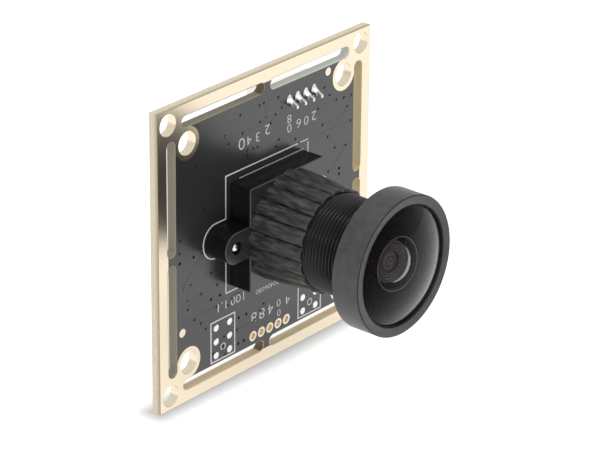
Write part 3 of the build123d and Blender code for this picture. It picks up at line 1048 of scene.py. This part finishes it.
    def build(self) -> None:
        """Print, vias and tracks."""
        lines = flat_object("lines", self.outlines(), BOARD.plating_top, self.print_top)
        numbers = [self.number(*digits) for digits in self.digits]
        dress(join_objects("white_print", [lines] + numbers), PRINT_WHITE, Body.BOARD, "solder_mask")
        vias = [circle(self.via_radius, spot, 14) for group in self.via_groups() for spot in group]
        lay("vias", vias, BOARD.plating_top, BOARD.mask_top + self.via_lift, VIA_BLACK)
        tracks = [flat_object("track", ribbon(route, self.track_width), BOARD.plating_top, self.track_top)
                  for route in self.routes()]
        dress(join_objects("covered_tracks", tracks), SOLDER_MASK, Body.BOARD, "solder_mask")
        edges = [ring for track in self.wide_tracks for outline in ribbon(np.array(track), self.wide_track)
                 for ring in ribbon(outline, self.edge_line, True)]
        lay("track_edges", edges, BOARD.plating_top, BOARD.mask_top + self.edge_lift, TRACK_EDGE)


@dataclass
class Solder:
    """Solder of the header's pins and of the spare pads.

    Attributes:
        tip_width: width of a joint's flat tip, and tip_length its length.
        tail_drop: distance by which a joint would lean down over the height tail_height.
        flare: power of the height by which a joint narrows.
    """

    joint_width: float = 1.0
    joint_length: float = 1.6
    joint_height: float = 0.6
    tip_width: float = 0.62
    tip_length: float = 0.7
    tail_height: float = 1.3
    tail_drop: float = 0.5
    flare: float = 0.6

    def joint(self, spot: Spot) -> bpy.types.Object:
        """Concave cone from an oval foot to a flat leaning tip.

        At a fraction t of the height the half widths are foot + (tip - foot) t^flare, and the
        middle has moved down by the lean's share of t. A last row of no width closes the tip.

        Args:
            spot: place of the pin.

        Returns:
            The object.
        """
        t = np.concatenate([np.linspace(0, 1, 10), [1.0]])[:, None]
        angle = even_turns(32)
        ease = t ** self.flare
        wide = (self.joint_width + (self.tip_width - self.joint_width) * ease) / 2
        tall = (self.joint_length + (self.tip_length - self.joint_length) * ease) / 2
        wide[-1] = tall[-1] = 0.0
        drop = self.tail_drop * self.joint_height / self.tail_height * t
        points = board_points(spot[0] + wide * np.cos(angle), spot[1] - drop + tall * np.sin(angle),
                              self.joint_height * t)
        return grid_object("joint", points, False, True, 50.0)

    def pad(self, low: Array, high: Array) -> bpy.types.Object:
        """Dome on a spare pad: at the angle b its radius is r sin(b) and its height h cos(b).

        Args:
            low: lowest corner of the pad's solid, in millimetres.
            high: its highest corner.

        Returns:
            The object.
        """
        radius, height = (high[0] - low[0]) / 2, high[1] - low[1]
        middle = (low + high) / 2
        bulge = np.radians(np.linspace(0, 90, 8))
        dome = np.stack([radius * np.sin(bulge), height * np.cos(bulge)], -1)
        profile = np.concatenate([dome, [(0.0, 0.0)]])
        return turned_object("pad", profile, 32, True, (middle[0], middle[2]), 60.0)

    def build(self) -> None:
        """Joints and pads."""
        joints = [self.joint(spot) for spot in BOARD.pins()]
        dress(join_objects("header_solder_joints", joints), SOLDER, Body.BOARD, "solder", "solder_joints")
        dress(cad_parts["header_pins"], TINNED, Body.BOARD, "tinned_brass")
        pads = [self.pad(low, high) for low, high in solids_of("solder_pads")]
        dress(join_objects("pad_solder", pads), SOLDER, Body.BOARD, "solder", "solder_pads")


# ---- the lens holder ----


@dataclass
class LensHolder:
    """Moulded holder: base with two ears, and a ribbed barrel round the lens's thread.

    Attributes:
        rear_groove: depth of the grooves between the ribs at the base, and front_groove at the mouth.
        rib_turn: angle, in degrees, of the first rib's middle from the X axis.
        parting: extra depth of the slit between two ribs.
        sink: depth to which the barrel's rear end is sunk into the base.
        mouth: chamfer of the bore's front end.
        edge: rounding of the barrel's front edge.
        base_edge: chamfer of the base's front edge.
        face_skin: depth of the base's front within which its faces count as its smooth front.
    """

    base_half: float = 6.65
    base_height: float = 3.2
    base_corner: float = 0.25
    ear_x: float = 9.0
    ear_radius: float = 2.0
    ear_hole_radius: float = 0.8
    barrel_height: float = 10.6
    rear_radius: float = 6.95
    front_radius: float = 6.45
    rear_groove: float = 0.46
    front_groove: float = 0.40
    rib_count: int = 20
    rib_turn: float = 15.0
    parting: float = 0.11
    bore_radius: float = 5.8875
    bore_floor: float = 3.6
    mouth: float = 0.15
    edge: float = 0.1
    base_edge: float = 0.1
    sink: float = 0.2
    face_skin: float = 0.002

    def lobes(self, crest: Array, groove: Array, count: int = 15) -> tuple[Array, Array]:
        """Ribbed section as one circular arc to a rib.

        With the groove radius g = crest - depth and half a pitch p, an arc has the half chord
        c = g sin(p) and the rise s = crest - g cos(p), so its radius is (c^2 + s^2) / 2s. The
        point between two ribs lies a little deeper, which makes a narrow slit.

        Args:
            crest: crest radius of each row.
            groove: groove depth of each row.
            count: points on each rib.

        Returns:
            X and Z of the section's points, one row for each crest radius.
        """
        half = math.pi / self.rib_count
        inner = (crest - groove)[:, None]
        chord = inner * math.sin(half)
        rise = crest[:, None] - inner * math.cos(half)
        radius = (chord ** 2 + rise ** 2) / (2 * rise)
        sweep = np.arcsin(chord / radius) * np.linspace(-1, 1, count, endpoint=False)[None, :]
        along = crest[:, None] - radius + radius * np.cos(sweep)
        along[:, 0] -= self.parting
        across = radius * np.sin(sweep)
        turn = math.radians(self.rib_turn) + FULL_TURN * np.arange(self.rib_count) / self.rib_count
        turn = turn[None, :, None]
        x = along[:, None] * np.cos(turn) - across[:, None] * np.sin(turn)
        z = along[:, None] * np.sin(turn) + across[:, None] * np.cos(turn)
        return x.reshape(len(crest), -1), z.reshape(len(crest), -1)

    def barrel(self) -> bpy.types.Object:
        """Ribbed barrel as a closed grid: up the ribs, over the eased front edge, and down the bore.

        Returns:
            The object.
        """
        ease = np.radians(np.linspace(0, 90, 5))[1:]
        flank = np.linspace(self.base_height - self.sink, self.barrel_height - self.edge, 16)
        height = np.concatenate([flank, self.barrel_height - self.edge + self.edge * np.sin(ease)])
        inset = np.concatenate([np.zeros_like(flank), self.edge * (1 - np.cos(ease))])
        share = (height - self.base_height) / (self.barrel_height - self.base_height)
        crest = self.rear_radius + (self.front_radius - self.rear_radius) * share - inset
        groove = self.rear_groove + (self.front_groove - self.rear_groove) * share
        x, z = self.lobes(crest, groove)
        outside = board_points(x, z, height[:, None])
        angle = np.arctan2(z[-1], x[-1])
        radius = np.array([self.bore_radius + self.mouth, self.bore_radius, self.bore_radius])[:, None]
        depth = np.array([self.barrel_height, self.barrel_height - self.mouth, self.bore_floor])[:, None]
        inside = board_points(radius * np.cos(angle), radius * np.sin(angle), depth)
        return grid_object("ribbed_barrel", np.concatenate([outside, inside]), True, True, 40.0)

    def base(self) -> bpy.types.Object:
        """Base plate with its ears, screw holes and bore, and a chamfer round its front.

        The side walls are rows of the outline: at the board, at the chamfer's foot, and at the
        front, where the outline has moved inwards along its mitres by the chamfer.

        Returns:
            The object.
        """
        half, ear, corner = self.base_half, self.ear_radius, self.base_corner
        right = np.concatenate([
            arc((half - corner, -half + corner), corner, -90, 0, 6),
            [(half, -ear)],
            arc((self.ear_x, 0.0), ear, -90, 90, 33),
            [(half, ear)],
            arc((half - corner, half - corner), corner, 0, 90, 6),
        ])
        outline = np.concatenate([right, -right])
        top, edge = self.base_height, self.base_edge
        holes = [circle(self.bore_radius, count=96)]
        holes += [circle(self.ear_hole_radius, (sign * self.ear_x, 0.0), 32) for sign in (-1, 1)]
        rows = outline + np.array([0.0, 0.0, edge])[:, None, None] * mitres(outline)
        height = np.array([0.0, top - edge, top])[:, None]
        walls = [grid_object("side", board_points(rows[..., 0], rows[..., 1], height), False, True)]
        for hole in holes:
            # A hole has no chamfer, so its wall runs straight from the board to the front.
            points = board_points(hole[None, :, 0], hole[None, :, 1], height[::2])
            walls.append(grid_object("hole", points, False, True))
        face = flat_object("face", [rows[-1], *holes], top, top)
        return join_objects("holder_base", [face, *walls])

    def build(self) -> None:
        """Barrel and base."""
        barrel = dress(self.barrel(), RIBBED_PLASTIC, Body.BOARD, "holder_plastic", "lens_holder")
        # The barrel's front end and bore are painted plain black, without the dust; on the front end this
        # is painted shade, where the head ring shades it.
        paint(barrel, INNER_BLACK_AND_SHADE, lambda radius, height: (
            (height > self.barrel_height - self.edge) | (radius < self.bore_radius + self.mouth)))
        base = dress(self.base(), HOLDER_PLASTIC, Body.BOARD, "holder_plastic")
        # The chamfer round the base's front is painted lighter as a highlight along the edge.
        paint(base, EDGE_HIGHLIGHT, lambda radius, height: height > self.base_height - self.base_edge)
        paint(base, HOLDER_FRONT, lambda radius, height: height > self.base_height - self.face_skin)


@dataclass
class HolderScrews:
    """Two screws from the rear, with cross recesses in their heads and cone tips in the ears.

    Attributes:
        face_inset: distance from the head's flat face to its side.
        rounding: corner of the head's face.
        head_side: depth below the face at which the head's side starts.
        tip_height: height of the point, over the board's front face.
        tip_length: length of the tip, below its point.
        tip: radius of the tip at some distances below its point.
        recess_reach: distance from the axis to the end of a bar of the cross.
        recess_half: half width of a bar, with its sloping wall.
        recess_wall: width of that wall.
        recess_end: length over which a bar runs out.
    """

    ear_x: float = 9.0
    shank_radius: float = 0.78
    head_radius: float = 1.5
    head_depth: float = 1.0
    tip_height: float = 3.15
    recess_depth: float = 0.55
    recess_reach: float = 0.85
    recess_half: float = 0.22
    recess_wall: float = 0.06
    recess_end: float = 0.3
    face_inset: float = 0.25
    rounding: float = 0.08
    head_side: float = 0.3
    tip_length: float = 0.5
    tip: Spots = ((0.50, 0.26), (0.30, 0.09), (0.14, 0.02), (0.0, 0.0))

    def screw(self, x: float) -> bpy.types.Object:
        """One screw, turned, with the cross sunk into its head.

        The head's face is y = depth - recess, where the recess falls off linearly with the
        distance from the nearer bar of the cross and with the distance from the middle.

        Args:
            x: place of the screw.

        Returns:
            The object.
        """
        face = np.linspace(0.0, self.head_radius - self.face_inset, 26)
        point = -BOARD.thickness - self.tip_height
        profile = np.concatenate([
            np.stack([face, np.full_like(face, self.head_depth)], -1),
            [(self.head_radius - self.rounding, self.head_depth - self.rounding),
             (self.head_radius, self.head_depth - self.head_side),
             (self.head_radius, 0.0), (self.shank_radius, 0.0),
             (self.shank_radius, point + self.tip_length)],
            [(radius, point + back) for radius, back in self.tip],
        ])
        angle = even_turns(96)[:, None]
        radius, depth = profile[:, 0], profile[:, 1]
        across, up = radius * np.cos(angle), radius * np.sin(angle)
        bar = np.minimum(np.abs(across), np.abs(up))
        walls = np.clip((self.recess_half - bar) / self.recess_wall, 0, 1)
        ends = np.clip((self.recess_reach - radius) / self.recess_end, 0, 1)
        sunk = np.where(np.arange(len(profile)) < len(face), self.recess_depth * walls * ends, 0.0)
        points = board_points(x + across, up, depth - sunk, Side.REAR)
        return grid_object("screw", points, True, False, 35.0)

    def build(self) -> None:
        """Both screws."""
        screws = [self.screw(x) for x in (-self.ear_x, self.ear_x)]
        dress(join_objects("cross_head_screws", screws), SCREW_STEEL, Body.BOARD,
              "screw_steel", "holder_screws")


# ---- the lens ----


@dataclass
class LensBarrel:
    """Turned tube: focusing thread outside, glass seats inside, and the cup of the head.

    Attributes:
        thread_start: height at which the cut thread starts, just inside the holder's mouth.
        run_in: length of the cone between the plain tube and the thread.
        run_out: gap between the thread and the head.
        flank_slope: steepness of the thread's flanks.
        crest_share: part of the thread's depth by which its crests are cut flat.
        steps_per_turn: rows for each pitch of the thread.
        segments: steps round the axis.
    """

    tube_rear: float = 5.4
    tube_radius: float = 5.8375
    thread_start: float = 10.5
    crest_radius: float = 6.0
    thread_depth: float = 0.27
    pitch: float = 0.5
    head_rear: float = 17.0
    cup_radius: float = 7.95
    cup_floor: float = 18.3
    glass_top: float = 20.5
    seat_radius: float = 7.47
    front_bore: float = 5.2
    shoulder_front: float = 14.2
    shoulder_rear: float = 13.4
    shoulder_window: float = 3.8
    rear_bore: float = 4.5
    run_in: float = 0.1
    run_out: float = 0.05
    flank_slope: float = 1.3
    crest_share: float = 0.15
    steps_per_turn: int = 12
    segments: int = 144

    def build(self) -> None:
        """The tube as one closed grid.

        Row k follows the profile (r_k, h_k). Where the row carries the thread, its radius is
        crest - depth * clip(slope |2p - 1| - crest share, 0, 1), with p the fractional part of
        h / pitch - angle / turn, which makes a V thread of one start with narrow flats.
        """
        end = self.head_rear - self.run_out
        threaded = np.arange(self.thread_start, end, self.pitch / self.steps_per_turn)
        plain = [(self.rear_bore, self.tube_rear), (self.tube_radius, self.tube_rear),
                 (self.tube_radius, self.thread_start - self.run_in)]
        cup = [(self.tube_radius, self.head_rear), (self.cup_radius, self.head_rear),
               (self.cup_radius, self.glass_top), (self.seat_radius, self.glass_top),
               (self.seat_radius, self.cup_floor), (self.front_bore, self.cup_floor),
               (self.front_bore, self.shoulder_front), (self.shoulder_window, self.shoulder_front),
               (self.shoulder_window, self.shoulder_rear), (self.rear_bore, self.shoulder_rear)]
        profile = np.array(plain + [(self.crest_radius, height) for height in threaded] + cup)
        carries = np.zeros(len(profile))
        carries[len(plain):len(plain) + len(threaded)] = 1.0
        angle = even_turns(self.segments)[:, None]
        phase = np.mod(profile[:, 1] / self.pitch - angle / FULL_TURN, 1.0)
        rise = self.flank_slope * np.abs(2 * phase - 1) - self.crest_share
        cut = np.clip(rise, 0, 1) * self.thread_depth
        radius = profile[:, 0] - carries * cut
        points = board_points(radius * np.cos(angle), radius * np.sin(angle), profile[:, 1])
        dress(grid_object("threaded_barrel", points, True, True, 25.0),
              THREAD_BLACK, Body.LENS, "black_anodised", "lens_barrel")


@dataclass
class LensHead:
    """Head ring with its lip, and the domed front glass behind it.

    Attributes:
        front: height of the lip's mouth, and rim the height of the ring's front edge.
        edge: easing of every corner of the ring.
        glass_clear: clear half width of the glass's outer face, and hollow that of its inner face.
        glass_curve: radius of the outer face, and hollow_curve that of the inner face.
        ground: width of the ground edge round the hollow.
        segments: steps round the axis.
    """

    radius: float = 8.6
    rear: float = 17.0
    front: float = 20.75
    rim: float = 20.9
    inner: float = 7.99
    lip_rear: float = 20.5
    lip_mouth: float = 7.48
    lip_inner: float = 7.33
    chamfer: float = 0.14
    edge: float = 0.03
    glass_radius: float = 7.45
    glass_rear: float = 18.3
    glass_clear: float = 7.29
    glass_curve: float = 14.0
    hollow_curve: float = 3.3
    hollow: float = 2.8
    ground: float = 0.1
    segments: int = 192

    def ring(self) -> bpy.types.Object:
        """Ring with chamfered corners, every corner eased a little further.

        Returns:
            The object.
        """
        outline = [
            (self.inner, self.rear), (self.radius - self.chamfer, self.rear),
            (self.radius, self.rear + self.chamfer), (self.radius, self.rim - self.chamfer),
            (self.radius - self.chamfer, self.rim), (self.lip_mouth, self.front),
            (self.lip_inner, self.lip_rear), (self.inner, self.lip_rear),
        ]
        return turned_object("turned_head_ring", eased(outline, self.edge), self.segments, crease=50.0)

    def glass(self) -> bpy.types.Object:
        """Front glass: a dome outside, a deeper hollow inside and a plain rim.

        A spherical face of radius R has the height sqrt(R^2 - r^2) - sqrt(R^2 - c^2) over its
        edge, with c the clear half width.

        Returns:
            The object.
        """
        out = np.linspace(0.0, self.glass_clear, 40)
        back = np.linspace(self.hollow, 0.0, 30)
        front = self.lip_rear + cap(self.glass_curve, self.glass_clear, out)
        rear = self.glass_rear + cap(self.hollow_curve, self.hollow, back)
        rim = [(self.glass_radius, self.lip_rear), (self.glass_radius, self.glass_rear),
               (self.hollow + self.ground, self.glass_rear)]
        profile = np.concatenate([np.stack([out, front], -1), rim, np.stack([back, rear], -1)])
        return turned_object("front_glass_dome", profile, self.segments, True, crease=25.0)

    def build(self) -> None:
        """Ring with a black inner wall and chamfer, and glass with a black rim and rear edge."""
        ring = dress(self.ring(), RING_GREY, Body.LENS, "ring_anodised", "head_ring")
        corner = self.chamfer - self.edge
        paint(ring, RING_EDGE, lambda radius, height: (
            ((radius < self.lip_mouth) & (height > self.lip_rear - self.edge))
            | ((radius > self.radius - corner) & (height > self.rim - corner))))
        glass = dress(self.glass(), FRONT_GLASS, Body.LENS, "lens_glass", "front_glass")
        paint(glass, GLASS_PAINT, lambda radius, height: (
            (radius > self.hollow + self.ground) & (height < self.lip_rear)))
        paint(glass, GROUND_GLASS, lambda radius, height: (
            (radius > self.hollow) & (radius < self.hollow + self.ground)
            & (height < self.glass_rear + self.edge)))


@dataclass
class InnerLens:
    """Glass and rings behind the front glass.

    Attributes:
        second_curve: radius of the second glass's front face, and second_clear its half width.
        second_rings: pitch of the rings that the second glass shows.
        dark_share: share of that pitch that is dark.
        baffle_mouth: radius of the first step, and baffle_window that of the last.
        baffle_web: thickness of the baffle behind its last step.
        baffle_edge: chamfer of each step.
    """

    second_curve: float = 7.074
    second_clear: float = 4.6
    second_rear: float = 14.2
    second_front: float = 15.6
    second_radius: float = 5.18
    second_rings: float = 0.64
    dark_share: float = 1 / 3
    baffle_front: float = 18.28
    baffle_rear: float = 17.4
    baffle_mouth: float = 2.82
    baffle_window: float = 1.6
    baffle_web: float = 0.25
    baffle_steps: int = 4
    baffle_edge: float = 0.11
    segments: int = 128

    def tread(self) -> float:
        """Width of a step of the baffle."""
        return (self.baffle_mouth - self.baffle_window) / self.baffle_steps

    def baffle(self) -> bpy.types.Object:
        """Cell between the front and second glass, whose mouth steps down to a small window.

        Step k of n lies at the radius mouth - k (mouth - window) / n, and its tread at the height
        front - (k + 1) (front - rear - web) / n. The inner corner of each tread has a chamfer.

        Returns:
            The object.
        """
        step, tread, edge = np.arange(self.baffle_steps), self.tread(), self.baffle_edge
        fall = self.baffle_front - self.baffle_rear - self.baffle_web
        level = self.baffle_front - (step + 1) * fall / self.baffle_steps
        outside, inside = self.baffle_mouth - tread * step, self.baffle_mouth - tread * (step + 1)
        stairs = np.stack([np.stack([outside, level], -1), np.stack([inside + edge, level], -1),
                           np.stack([inside, level - edge], -1)], 1).reshape(-1, 2)
        profile = np.concatenate([
            [(self.second_clear, self.second_front), (self.second_radius, self.second_front),
             (self.second_radius, self.baffle_front), (self.baffle_mouth, self.baffle_front)],
            stairs,
            [(self.baffle_window, self.baffle_rear), (self.second_clear, self.baffle_rear)],
        ])
        return turned_object("turned_baffle", profile, self.segments, crease=25.0)

    def bare(self, radius: Array, height: Array) -> Array:
        """Which of the baffle's faces are chamfers of its steps, turned bare.

        A chamfer's middle lies half an edge outside its step's radius, so the place within a
        tread, (mouth - radius) / tread, ends just short of a whole number there.

        Args:
            radius: radii of the faces' middles.
            height: their heights.

        Returns:
            True for each such face.
        """
        tread = self.tread()
        place = np.mod((self.baffle_mouth - radius) / tread, 1.0)
        close = np.abs(place - 1 + self.baffle_edge / (2 * tread)) < self.baffle_edge / (4 * tread)
        return close & (radius < self.baffle_mouth) & (height > self.baffle_rear + self.baffle_web / 2)

    def second_glass(self) -> bpy.types.Object:
        """Second glass: a spherical front face, a plain rim and a flat rear.

        Returns:
            The object.
        """
        out = np.linspace(0.0, self.second_clear, 30)
        face = self.second_front + cap(self.second_curve, self.second_clear, out)
        rim = [(self.second_radius, self.second_front), (self.second_radius, self.second_rear),
               (0.0, self.second_rear)]
        profile = np.concatenate([np.stack([out, face], -1), rim])
        return turned_object("second_glass_dome", profile, self.segments, True, crease=25.0)

    def build(self) -> None:
        """Baffle with bare chamfers, second glass with dark rings, and the pieces behind them."""
        baffle = dress(self.baffle(), BAFFLE_BLACK, Body.LENS, "black_anodised", "stepped_baffle")
        paint(baffle, TURNED_EDGE, self.bare)
        # The second glass is painted pale grey as a painted reflection of its coated faces, with dark
        # rings for the edges of the glasses behind it.
        second = dress(self.second_glass(), SECOND_GLASS_SHEEN, Body.LENS, "lens_glass", "second_glass")
        dark = self.second_rings * self.dark_share
        paint(second, BAFFLE_BLACK, lambda radius, height: (
            (np.mod(radius, self.second_rings) < dark) & (height > self.second_front)))
        for node in ("third_glass", "relay_glass", "rear_glass"):
            dress(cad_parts[node], COATED_GLASS, Body.LENS, "lens_glass")
        for node in ("aperture_stop", "spacer_ring", "rear_retainer"):
            dress(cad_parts[node], INNER_BLACK_AND_SHADE, Body.LENS, "black_anodised")


# ---- parts on the rear face ----


@dataclass
class RearParts:
    """Dresses the chips, the header and the small parts, and adds their metal ends and marks.

    Attributes:
        end_share: length of a metal end over its part's length.
        proud: distance by which a metal end stands out of its part.
        end_easing: easing of a metal end's corners.
        marks: chips with a mark, and its middle's distance in X and Z from the chip's corner.
        mark_sink: depth of a mark's foot in the chip, and mark_proud its height over it.
        finishes: finish and slot of each CAD node that keeps its shape.
    """

    end_share: float = 0.24
    proud: float = 0.02
    end_easing: float = 0.05
    mark_radius: float = 0.3
    mark_sink: float = 0.02
    mark_proud: float = 0.005
    marks: tuple[tuple[str, Spot], ...] = (("video_processor", (0.8, 0.8)), ("flash_memory", (0.7, 1.75)))
    finishes: ClassVar[dict[str, tuple[Finish, str]]] = {
        "video_processor": (RESIN, "chip_resin"),
        "flash_memory": (RESIN, "chip_resin"),
        "voltage_regulators": (RESIN, "chip_resin"),
        "crystal": (CAN_STEEL, "can_steel"),
        "inductor": (FERRITE, "ferrite"),
        "header_housing": (NYLON, "header_nylon"),
        "capacitors": (CAPACITOR_TAN, "capacitor_ceramic"),
        "resistors": (RESISTOR_BLACK, "resistor_ceramic"),
        "diodes": (RESIN, "chip_resin"),
        "image_sensor": (CERAMIC_WHITE, "sensor_ceramic"),
        "sensor_cover_glass": (COATED_GLASS, "cover_glass"),
        "infrared_filter": (COATED_GLASS, "filter_glass"),
    }

    def caps(self, node: str) -> list[bpy.types.Object]:
        """Metal caps over both ends of each solid in a node, a little proud of it.

        Args:
            node: the CAD node.

        Returns:
            The caps.
        """
        made, proud = [], self.proud
        for low, high in solids_of(node):
            width = (high[0] - low[0]) * self.end_share
            for left, right in ((low[0] - proud, low[0] + width), (high[0] - width, high[0] + proud)):
                outline = eased(rectangle(left, right, low[2] - proud, high[2] + proud), self.end_easing)
                made.append(flat_object("cap", mirrored([outline]), 0.0, high[1] + proud, Side.REAR))
        return made

    def mark(self, node: str, inset: Spot) -> bpy.types.Object:
        """Round moulded mark near a corner of a chip's face.

        Args:
            node: the chip's CAD node.
            inset: distance in X and Z of the mark's middle from the corner.

        Returns:
            The mark.
        """
        low, high = (np.array(corner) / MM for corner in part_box(node))
        outline = circle(self.mark_radius, (high[0] - inset[0], high[2] - inset[1]), 24)
        bottom, top = high[1] - self.mark_sink, high[1] + self.mark_proud
        return flat_object("mark", mirrored([outline]), bottom, top, Side.REAR)

    def build(self) -> None:
        """Finishes of the CAD nodes, then the metal ends and the marks."""
        for node, (finish, slot) in self.finishes.items():
            dress(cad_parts[node], finish, Body.BOARD, slot)
        caps = self.caps("capacitors") + self.caps("resistors") + self.caps("diodes")
        dress(join_objects("metal_ends", caps), TINNED, Body.BOARD, "tinned_brass")
        marks = [self.mark(node, inset) for node, inset in self.marks]
        dress(join_objects("chip_marks", marks), RESIN_MARK, Body.BOARD, "chip_resin")


# ---- studio ----


@dataclass(frozen=True)
class Viewpoint:
    """Camera of the picture.

    Attributes:
        azimuth: angle of the camera's side from the front, in degrees, positive to the right.
        elevation: angle of its height, in degrees.
        roll: turn of the picture about the line of sight, in degrees.
        focal_pixels: focal length in widths of a pixel.
        picture_width: width of the picture in pixels.
        sensor: width of the sensor.
        offset_right: place of the middle of the board's front face in the view, to the right of
            the picture's middle, and offset_up above it.
        distance: distance of that place along the line of sight.
        clip: nearest and farthest distance that is drawn, in metres.
    """

    azimuth: float = -50.057
    elevation: float = 24.656
    roll: float = 0.534
    focal_pixels: float = 3028.81
    picture_width: float = 600.0
    sensor: float = 36.0
    offset_right: float = -3.934
    offset_up: float = 0.959
    distance: float = 359.797
    clip: tuple[float, float] = (0.01, 20.0)

    def build(self) -> None:
        """Makes the camera and gives it to the scene."""
        turn, lift = math.radians(self.azimuth), math.radians(self.elevation)
        back = Vector((math.sin(turn) * math.cos(lift), -math.cos(turn) * math.cos(lift), math.sin(lift)))
        level = Vector((math.cos(turn), math.sin(turn), 0.0))
        rise = back.cross(level)
        tilt = math.radians(self.roll)
        right = math.cos(tilt) * level + math.sin(tilt) * rise
        up = math.cos(tilt) * rise - math.sin(tilt) * level
        place = (self.distance * back - self.offset_right * right - self.offset_up * up) * MM
        place.y -= BOARD.thickness * MM
        data = bpy.data.cameras.new("camera")
        data.sensor_width = self.sensor
        data.lens = self.focal_pixels / self.picture_width * self.sensor
        data.clip_start, data.clip_end = self.clip
        camera = bpy.data.objects.new("camera", data)
        camera.matrix_world = Matrix.Translation(place) @ Matrix((right, up, back)).transposed().to_4x4()
        bpy.context.scene.collection.objects.link(camera)
        bpy.context.scene.camera = camera


@dataclass(frozen=True)
class Softbox:
    """Square area light that looks at the object.

    Attributes:
        place: its middle, in metres.
        size: its side, in metres.
        watts: its power.
    """

    name: str
    place: tuple[float, float, float]
    size: float
    watts: float

    def build(self) -> None:
        """Adds the light."""
        data = bpy.data.lights.new(self.name, "AREA")
        data.size, data.energy = self.size, self.watts
        lamp = bpy.data.objects.new(self.name, data)
        spot = Vector(self.place)
        lamp.matrix_world = Matrix.Translation(spot) @ spot.to_track_quat("Z", "Y").to_matrix().to_4x4()
        bpy.context.scene.collection.objects.link(lamp)


@dataclass
class Studio:
    """White floor, white surroundings and two softboxes.

    Attributes:
        floor_half: half width of the floor, in metres.
        surround: strength of the white surroundings.
        shade: share of its light that the floor keeps where the board stands on it.
        shade_reach: distance from the board, in millimetres, at which the floor is white again.
        shade_lift: height, in millimetres, of the shade over the floor.
    """

    floor_half: float = 3.0
    surround: float = 0.9
    shade: float = 0.42
    shade_reach: float = 3.0
    shade_lift: float = 0.01
    softboxes: tuple[Softbox, ...] = (
        Softbox("top softbox", (-0.15, -0.1, 0.7), 0.6, 2.6),
        Softbox("left softbox", (-0.7, -0.1, 0.25), 0.4, 0.9),
    )

    def sheet(self, name: str, reach: float, level: float) -> bpy.types.Object:
        """Square level sheet with its middle on the Z axis.

        Args:
            name: name of the piece.
            reach: half of its width, in metres.
            level: its height, in metres.

        Returns:
            The object.
        """
        corners = np.array([[(-reach, -reach, level), (reach, -reach, level)],
                            [(-reach, reach, level), (reach, reach, level)]])
        return grid_object(name, corners, False, False)

    def shade_material(self) -> bpy.types.Material:
        """White of the floor, shaded close to the foot of the board.

        With a = max(|x| - side / 2, 0) and b = max(|y + thickness / 2| - thickness / 2, 0), the
        distance from the foot is sqrt(a^2 + b^2).

        Returns:
            The material.
        """
        made = FLOOR_SHADE.material()
        tree = made.node_tree
        links = tree.links
        split = add_node(tree, "SeparateXYZ")
        links.new(add_node(tree, "TexCoord").outputs["Object"], split.inputs["Vector"])
        join = add_node(tree, "CombineXYZ")
        deep = BOARD.thickness / 2
        for axis, middle, half in (("X", 0.0, BOARD.side / 2), ("Y", -deep, deep)):
            last = split.outputs[axis]
            steps = (("SUBTRACT", middle), ("ABSOLUTE", 0.0), ("SUBTRACT", half), ("MAXIMUM", 0.0))
            for operation, value in steps:
                step = add_node(tree, "Math")
                step.operation = operation
                step.inputs[1].default_value = value * MM
                links.new(last, step.inputs[0])
                last = step.outputs[0]
            links.new(last, join.inputs[axis])
        length = add_node(tree, "VectorMath")
        length.operation = "LENGTH"
        links.new(join.outputs["Vector"], length.inputs[0])
        light = add_node(tree, "MapRange", From_Max=self.shade_reach * MM, To_Min=self.shade)
        links.new(length.outputs["Value"], light.inputs["Value"])
        shader = tree.nodes["Principled BSDF"]
        glow = add_node(tree, "Math")
        glow.operation = "MULTIPLY"
        glow.inputs[1].default_value = FLOOR_SHADE.glow
        links.new(light.outputs["Result"], glow.inputs[0])
        links.new(glow.outputs[0], shader.inputs["Emission Strength"])
        colour = add_node(tree, "VectorMath")
        colour.operation = "SCALE"
        colour.inputs[0].default_value = FLOOR_SHADE.colour
        links.new(light.outputs["Result"], colour.inputs["Scale"])
        links.new(colour.outputs["Vector"], shader.inputs["Base Color"])
        return made

    def build(self) -> None:
        """Floor, world and lights."""
        level = CAD_BOX[0].z
        floor = self.sheet("floor", self.floor_half, level)
        floor.data.materials.append(FLOOR_WHITE.material())
        reach = (BOARD.side / 2 + self.shade_reach) * MM
        shade = self.sheet("foot_shade", reach, level + self.shade_lift * MM)
        shade.data.materials.append(self.shade_material())
        # Only the camera sees the shade, so nothing mirrors it.
        shade.visible_diffuse = False
        shade.visible_glossy = False
        shade.visible_transmission = False
        shade.visible_shadow = False
        world = bpy.data.worlds.new("studio")
        world.use_nodes = True
        background = world.node_tree.nodes["Background"]
        background.inputs["Color"].default_value = (1.0, 1.0, 1.0, 1.0)
        background.inputs["Strength"].default_value = self.surround
        bpy.context.scene.world = world
        bpy.context.scene.view_settings.view_transform = "Standard"
        for softbox in self.softboxes:
            softbox.build()


def main() -> None:
    """Builds the module, the studio and the camera."""
    logging.basicConfig(level=logging.INFO, format="%(name)s: %(message)s")
    for part in (BOARD, Marks(), Solder(), LensHolder(), HolderScrews(), LensBarrel(), LensHead(),
                 InnerLens(), RearParts(), Studio(), Viewpoint()):
        log.info("building %s", type(part).__name__)
        part.build()


if __name__ == "__main__":
    main()
